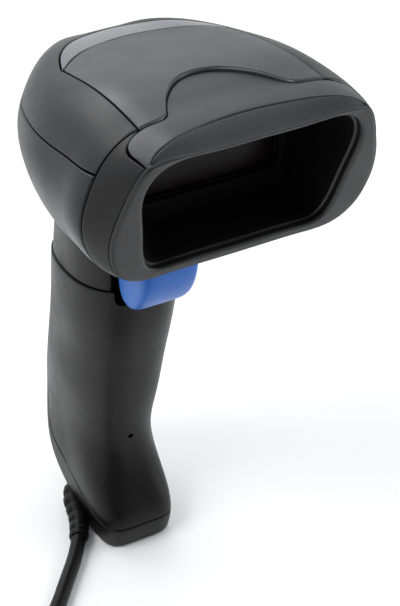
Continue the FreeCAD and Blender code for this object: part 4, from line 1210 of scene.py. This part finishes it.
# slot or variant: name, colour, roughness, grain, what else differs
FINISHES = {
    "shell_charcoal": ("charcoal plastic", (0.0070, 0.0072, 0.0080), 0.42, 0.55, {"shine": 0.42}),
    # grip: the casing's charcoal made darker and duller, painted shade on the grip and neck below
    # the head
    "grip": ("grip plastic", (0.0030, 0.0029, 0.0030), 0.40, 0.5, {"shine": 0.27}),
    # band: the casing's charcoal made darker and duller, painted shade on the low front of the nose
    "band": ("band plastic", (0.0050, 0.0050, 0.0055), 0.42, 0.5, {"shine": 0.34}),
    # plate: the panel's charcoal made lighter, painted light on the upward-facing top plate
    "plate": ("plate plastic", (0.0230, 0.0242, 0.0280), 0.36, 0.3, {"shine": 0.55}),
    "bezel_charcoal": ("bezel plastic", (0.0095, 0.0096, 0.0103), 0.40, 0.5, {"shine": 0.5}),
    "panel_charcoal": ("panel plastic", (0.0135, 0.0138, 0.0160), 0.38, 0.35, {"shine": 0.5}),
    # smoked_lens: the lens's grey tint, lightened as painted reflection
    "smoked_lens": ("smoked lens", (0.060, 0.064, 0.072), 0.20, 0.05,
                    {"coat": 0.5, "spread_rough": 0.04}),
    "trigger_blue": ("blue plastic", (0.010, 0.125, 0.50), 0.36, 0.35,
                     {"tint": 0.05, "shine": 0.4}),
    # hood_black: the hood's own black, darkened further as painted shade inside the opening
    "hood_black": ("black hood", (0.0012, 0.0012, 0.0014), 0.7, 0.5, {"shine": 0.12}),
    # window_red: the window's own red, darkened almost to black as painted shade inside the opening
    "window_red": ("red window", (0.0040, 0.0008, 0.0010), 0.25, 0.0,
                   {"clear": 0.2, "shine": 0.12, "spread_rough": 0.03}),
    "gasket_rubber": ("gasket rubber", (0.012, 0.012, 0.012), 0.75, 0.4, {}),
    "label_stock": ("blank label", (0.48, 0.49, 0.50), 0.5, 0.1, {"tint": 0.06}),
    "board_green": ("circuit board", (0.010, 0.11, 0.045), 0.32, 0.1, {}),
    "chip_black": ("chip packages", (0.02, 0.02, 0.022), 0.45, 0.3, {}),
    "led_resin": ("lamp resin", (0.6, 0.12, 0.09), 0.15, 0.0, {"clear": 0.5}),
    "light_pipe": ("clear acrylic", (0.78, 0.8, 0.82), 0.1, 0.0, {"clear": 0.85}),
    "optic_glass": ("lens glass", (0.5, 0.58, 0.7), 0.05, 0.0, {"clear": 0.8, "ior": 1.52}),
    "engine_metal": ("cast metal", (0.42, 0.43, 0.44), 0.45, 0.4, {"metal": 1.0}),
    "barrel_black": ("lens barrel", (0.012, 0.012, 0.013), 0.55, 0.3, {}),
    "spring_steel": ("ground steel", (0.56, 0.57, 0.58), 0.28, 0.2,
                     {"metal": 1.0, "stretch": (1, 12, 12)}),
    "screw_steel": ("plated steel", (0.45, 0.455, 0.46), 0.32, 0.2, {"metal": 1.0}),
    "ribbon_film": ("ribbon film", (0.45, 0.2, 0.035), 0.3, 0.1, {}),
    "connector_plastic": ("connector plastic", (0.05, 0.05, 0.054), 0.45, 0.2, {}),
    "plug_clear": ("clear plug", (0.66, 0.68, 0.7), 0.15, 0.0, {"clear": 0.8}),
    "cord_jacket": ("cord jacket", (0.0022, 0.0022, 0.0024), 0.45, 0.3, {"shine": 0.22}),
    "tie_fabric": ("woven strap", (0.025, 0.025, 0.028), 0.9, 1.0, {"grain_size": 1500.0}),
    "plug_moulding": ("plug moulding", (0.016, 0.016, 0.018), 0.5, 0.4, {}),
    "plug_steel": ("plated shell", (0.7, 0.71, 0.72), 0.18, 0.1, {"metal": 1.0}),
}
MATERIALS = {slot: material(*row[:-1], **row[-1]) for slot, row in FINISHES.items()}


def dress(obj, slot, *nodes, body="scanner", finish=None):
    """Give a piece its finish, the CAD nodes that it stands for and the body it rides on."""
    obj.data.materials.clear()
    obj.data.materials.append(MATERIALS[finish or slot])
    if nodes:
        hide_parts(*nodes)
    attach(obj, body)
    return obj


def carry_over():
    """Inner pieces keep their CAD shape and get the same finishes."""
    for part in frame["record"]["subparts"]:
        node = frame["nodes"].get(part["node"])
        if node is None or node.hide_render:
            continue
        node.data.materials.clear()
        node.data.materials.append(MATERIALS[part["material_slot"]])


# ---- room ----
def area_light(name, place, aim, size, power, size_y=None):
    data = bpy.data.lights.new(name, "AREA")
    data.shape = "RECTANGLE"
    data.size = size
    if size_y:
        data.size_y = size_y
    data.energy = power
    obj = link(name, data)
    obj.location = place
    obj.rotation_euler = (Vector(aim) - Vector(place)).to_track_quat("-Z", "Y").to_euler()


def room():
    mesh = bpy.data.meshes.new("floor")
    r = FLOOR_HALF
    mesh.from_pydata([(-r, -r, 0), (r, -r, 0), (r, r, 0), (-r, r, 0)], [], [(0, 1, 2, 3)])
    floor = link("floor", mesh)
    floor.location.z = -FLOOR_DROP
    pale = material("pale floor", (0.93, 0.93, 0.93), 0.32, 0.0, tint=0.01, spread_rough=0.03)
    mesh.materials.append(pale)
    world = bpy.data.worlds.new("studio")
    bpy.context.scene.world = world
    world.use_nodes = True
    tree = world.node_tree
    back = tree.nodes["Background"]
    place = add_node(tree, "ShaderNodeTexCoord")
    dot = add_node(tree, "ShaderNodeVectorMath", place.outputs["Generated"])
    dot.operation = "DOT_PRODUCT"
    dot.inputs[1].default_value = (-0.40, -0.78, -0.25)     # the way to the dim side
    ramp = add_node(tree, "ShaderNodeMapRange", dot.outputs["Value"], From_Min=-0.1,
                    From_Max=0.75, To_Min=1.0, To_Max=0.12)
    tree.links.new(ramp.outputs["Result"], back.inputs["Strength"])
    back.inputs["Color"].default_value = (0.96, 0.975, 1.0, 1.0)
    middle = (0.0, -0.01, 0.09)
    area_light("key", (-0.55, -0.10, 0.85), middle, 0.5, 3.6)
    area_light("side", (0.75, -0.35, 0.45), middle, 0.35, 2.0, size_y=0.8)
    area_light("rear", (-0.10, 0.75, 0.65), middle, 0.8, 2.4, size_y=0.3)


def camera():
    bpy.context.scene.view_settings.view_transform = "Standard"
    data = bpy.data.cameras.new("camera")
    data.sensor_fit = "VERTICAL"
    data.sensor_height = CAMERA_SENSOR
    data.lens = CAMERA_LENS
    data.clip_start = 0.01
    obj = link("camera", data)
    obj.location = CAMERA_AT
    obj.rotation_euler = (math.radians(90 - CAMERA_DOWN), 0.0, math.radians(CAMERA_TURN))
    bpy.context.scene.camera = obj


# ---- everything ----
def build():
    casing = "shell_charcoal"
    dress(front_bezel(), "bezel_charcoal", "front_bezel")
    dress(hood_liner(), "hood_black", "hood_liner")
    dress(front_top_panel(), "panel_charcoal", "front_top_panel")
    # the top plate takes a lighter copy of the panel's charcoal: painted light
    dress(top_plate(), "panel_charcoal", "top_plate", finish="plate")
    dress(status_lens(), "smoked_lens", "status_lens")
    dress(upper_shell(), casing, "upper_shell")
    # the nose band takes a darker copy of the casing's charcoal: painted shade
    dress(nose_band(), casing, "nose_band", finish="band")
    dress(lower_shell(), casing, "lower_shell")
    # the neck belongs to the lower shell but takes the grip's darker charcoal: painted shade
    dress(neck(), casing, "lower_shell", finish="grip")
    dress(product_label(), "label_stock", "product_label")
    # both grip halves take the darker copy of the casing's charcoal: painted shade
    dress(grip_front(), casing, "grip_front", finish="grip")
    dress(grip_rear(), casing, "grip_rear", finish="grip")
    dress(trigger(), "trigger_blue", "trigger", body="trigger")
    relief = dress(strain_relief(), "cord_jacket", "strain_relief")
    lead, length = cord()
    dress(lead, "cord_jacket", "cord", "cord_coil", "cord_end")
    tie = dress(cord_tie(), "tie_fabric", "cord_tie")
    boot = dress(usb_boot(), "plug_moulding", "usb_boot")
    body = dress(usb_body(), "plug_moulding", "usb_body")
    shell = dress(usb_shell(), "plug_steel", "usb_shell")
    carry_over()


build()
room()
camera()
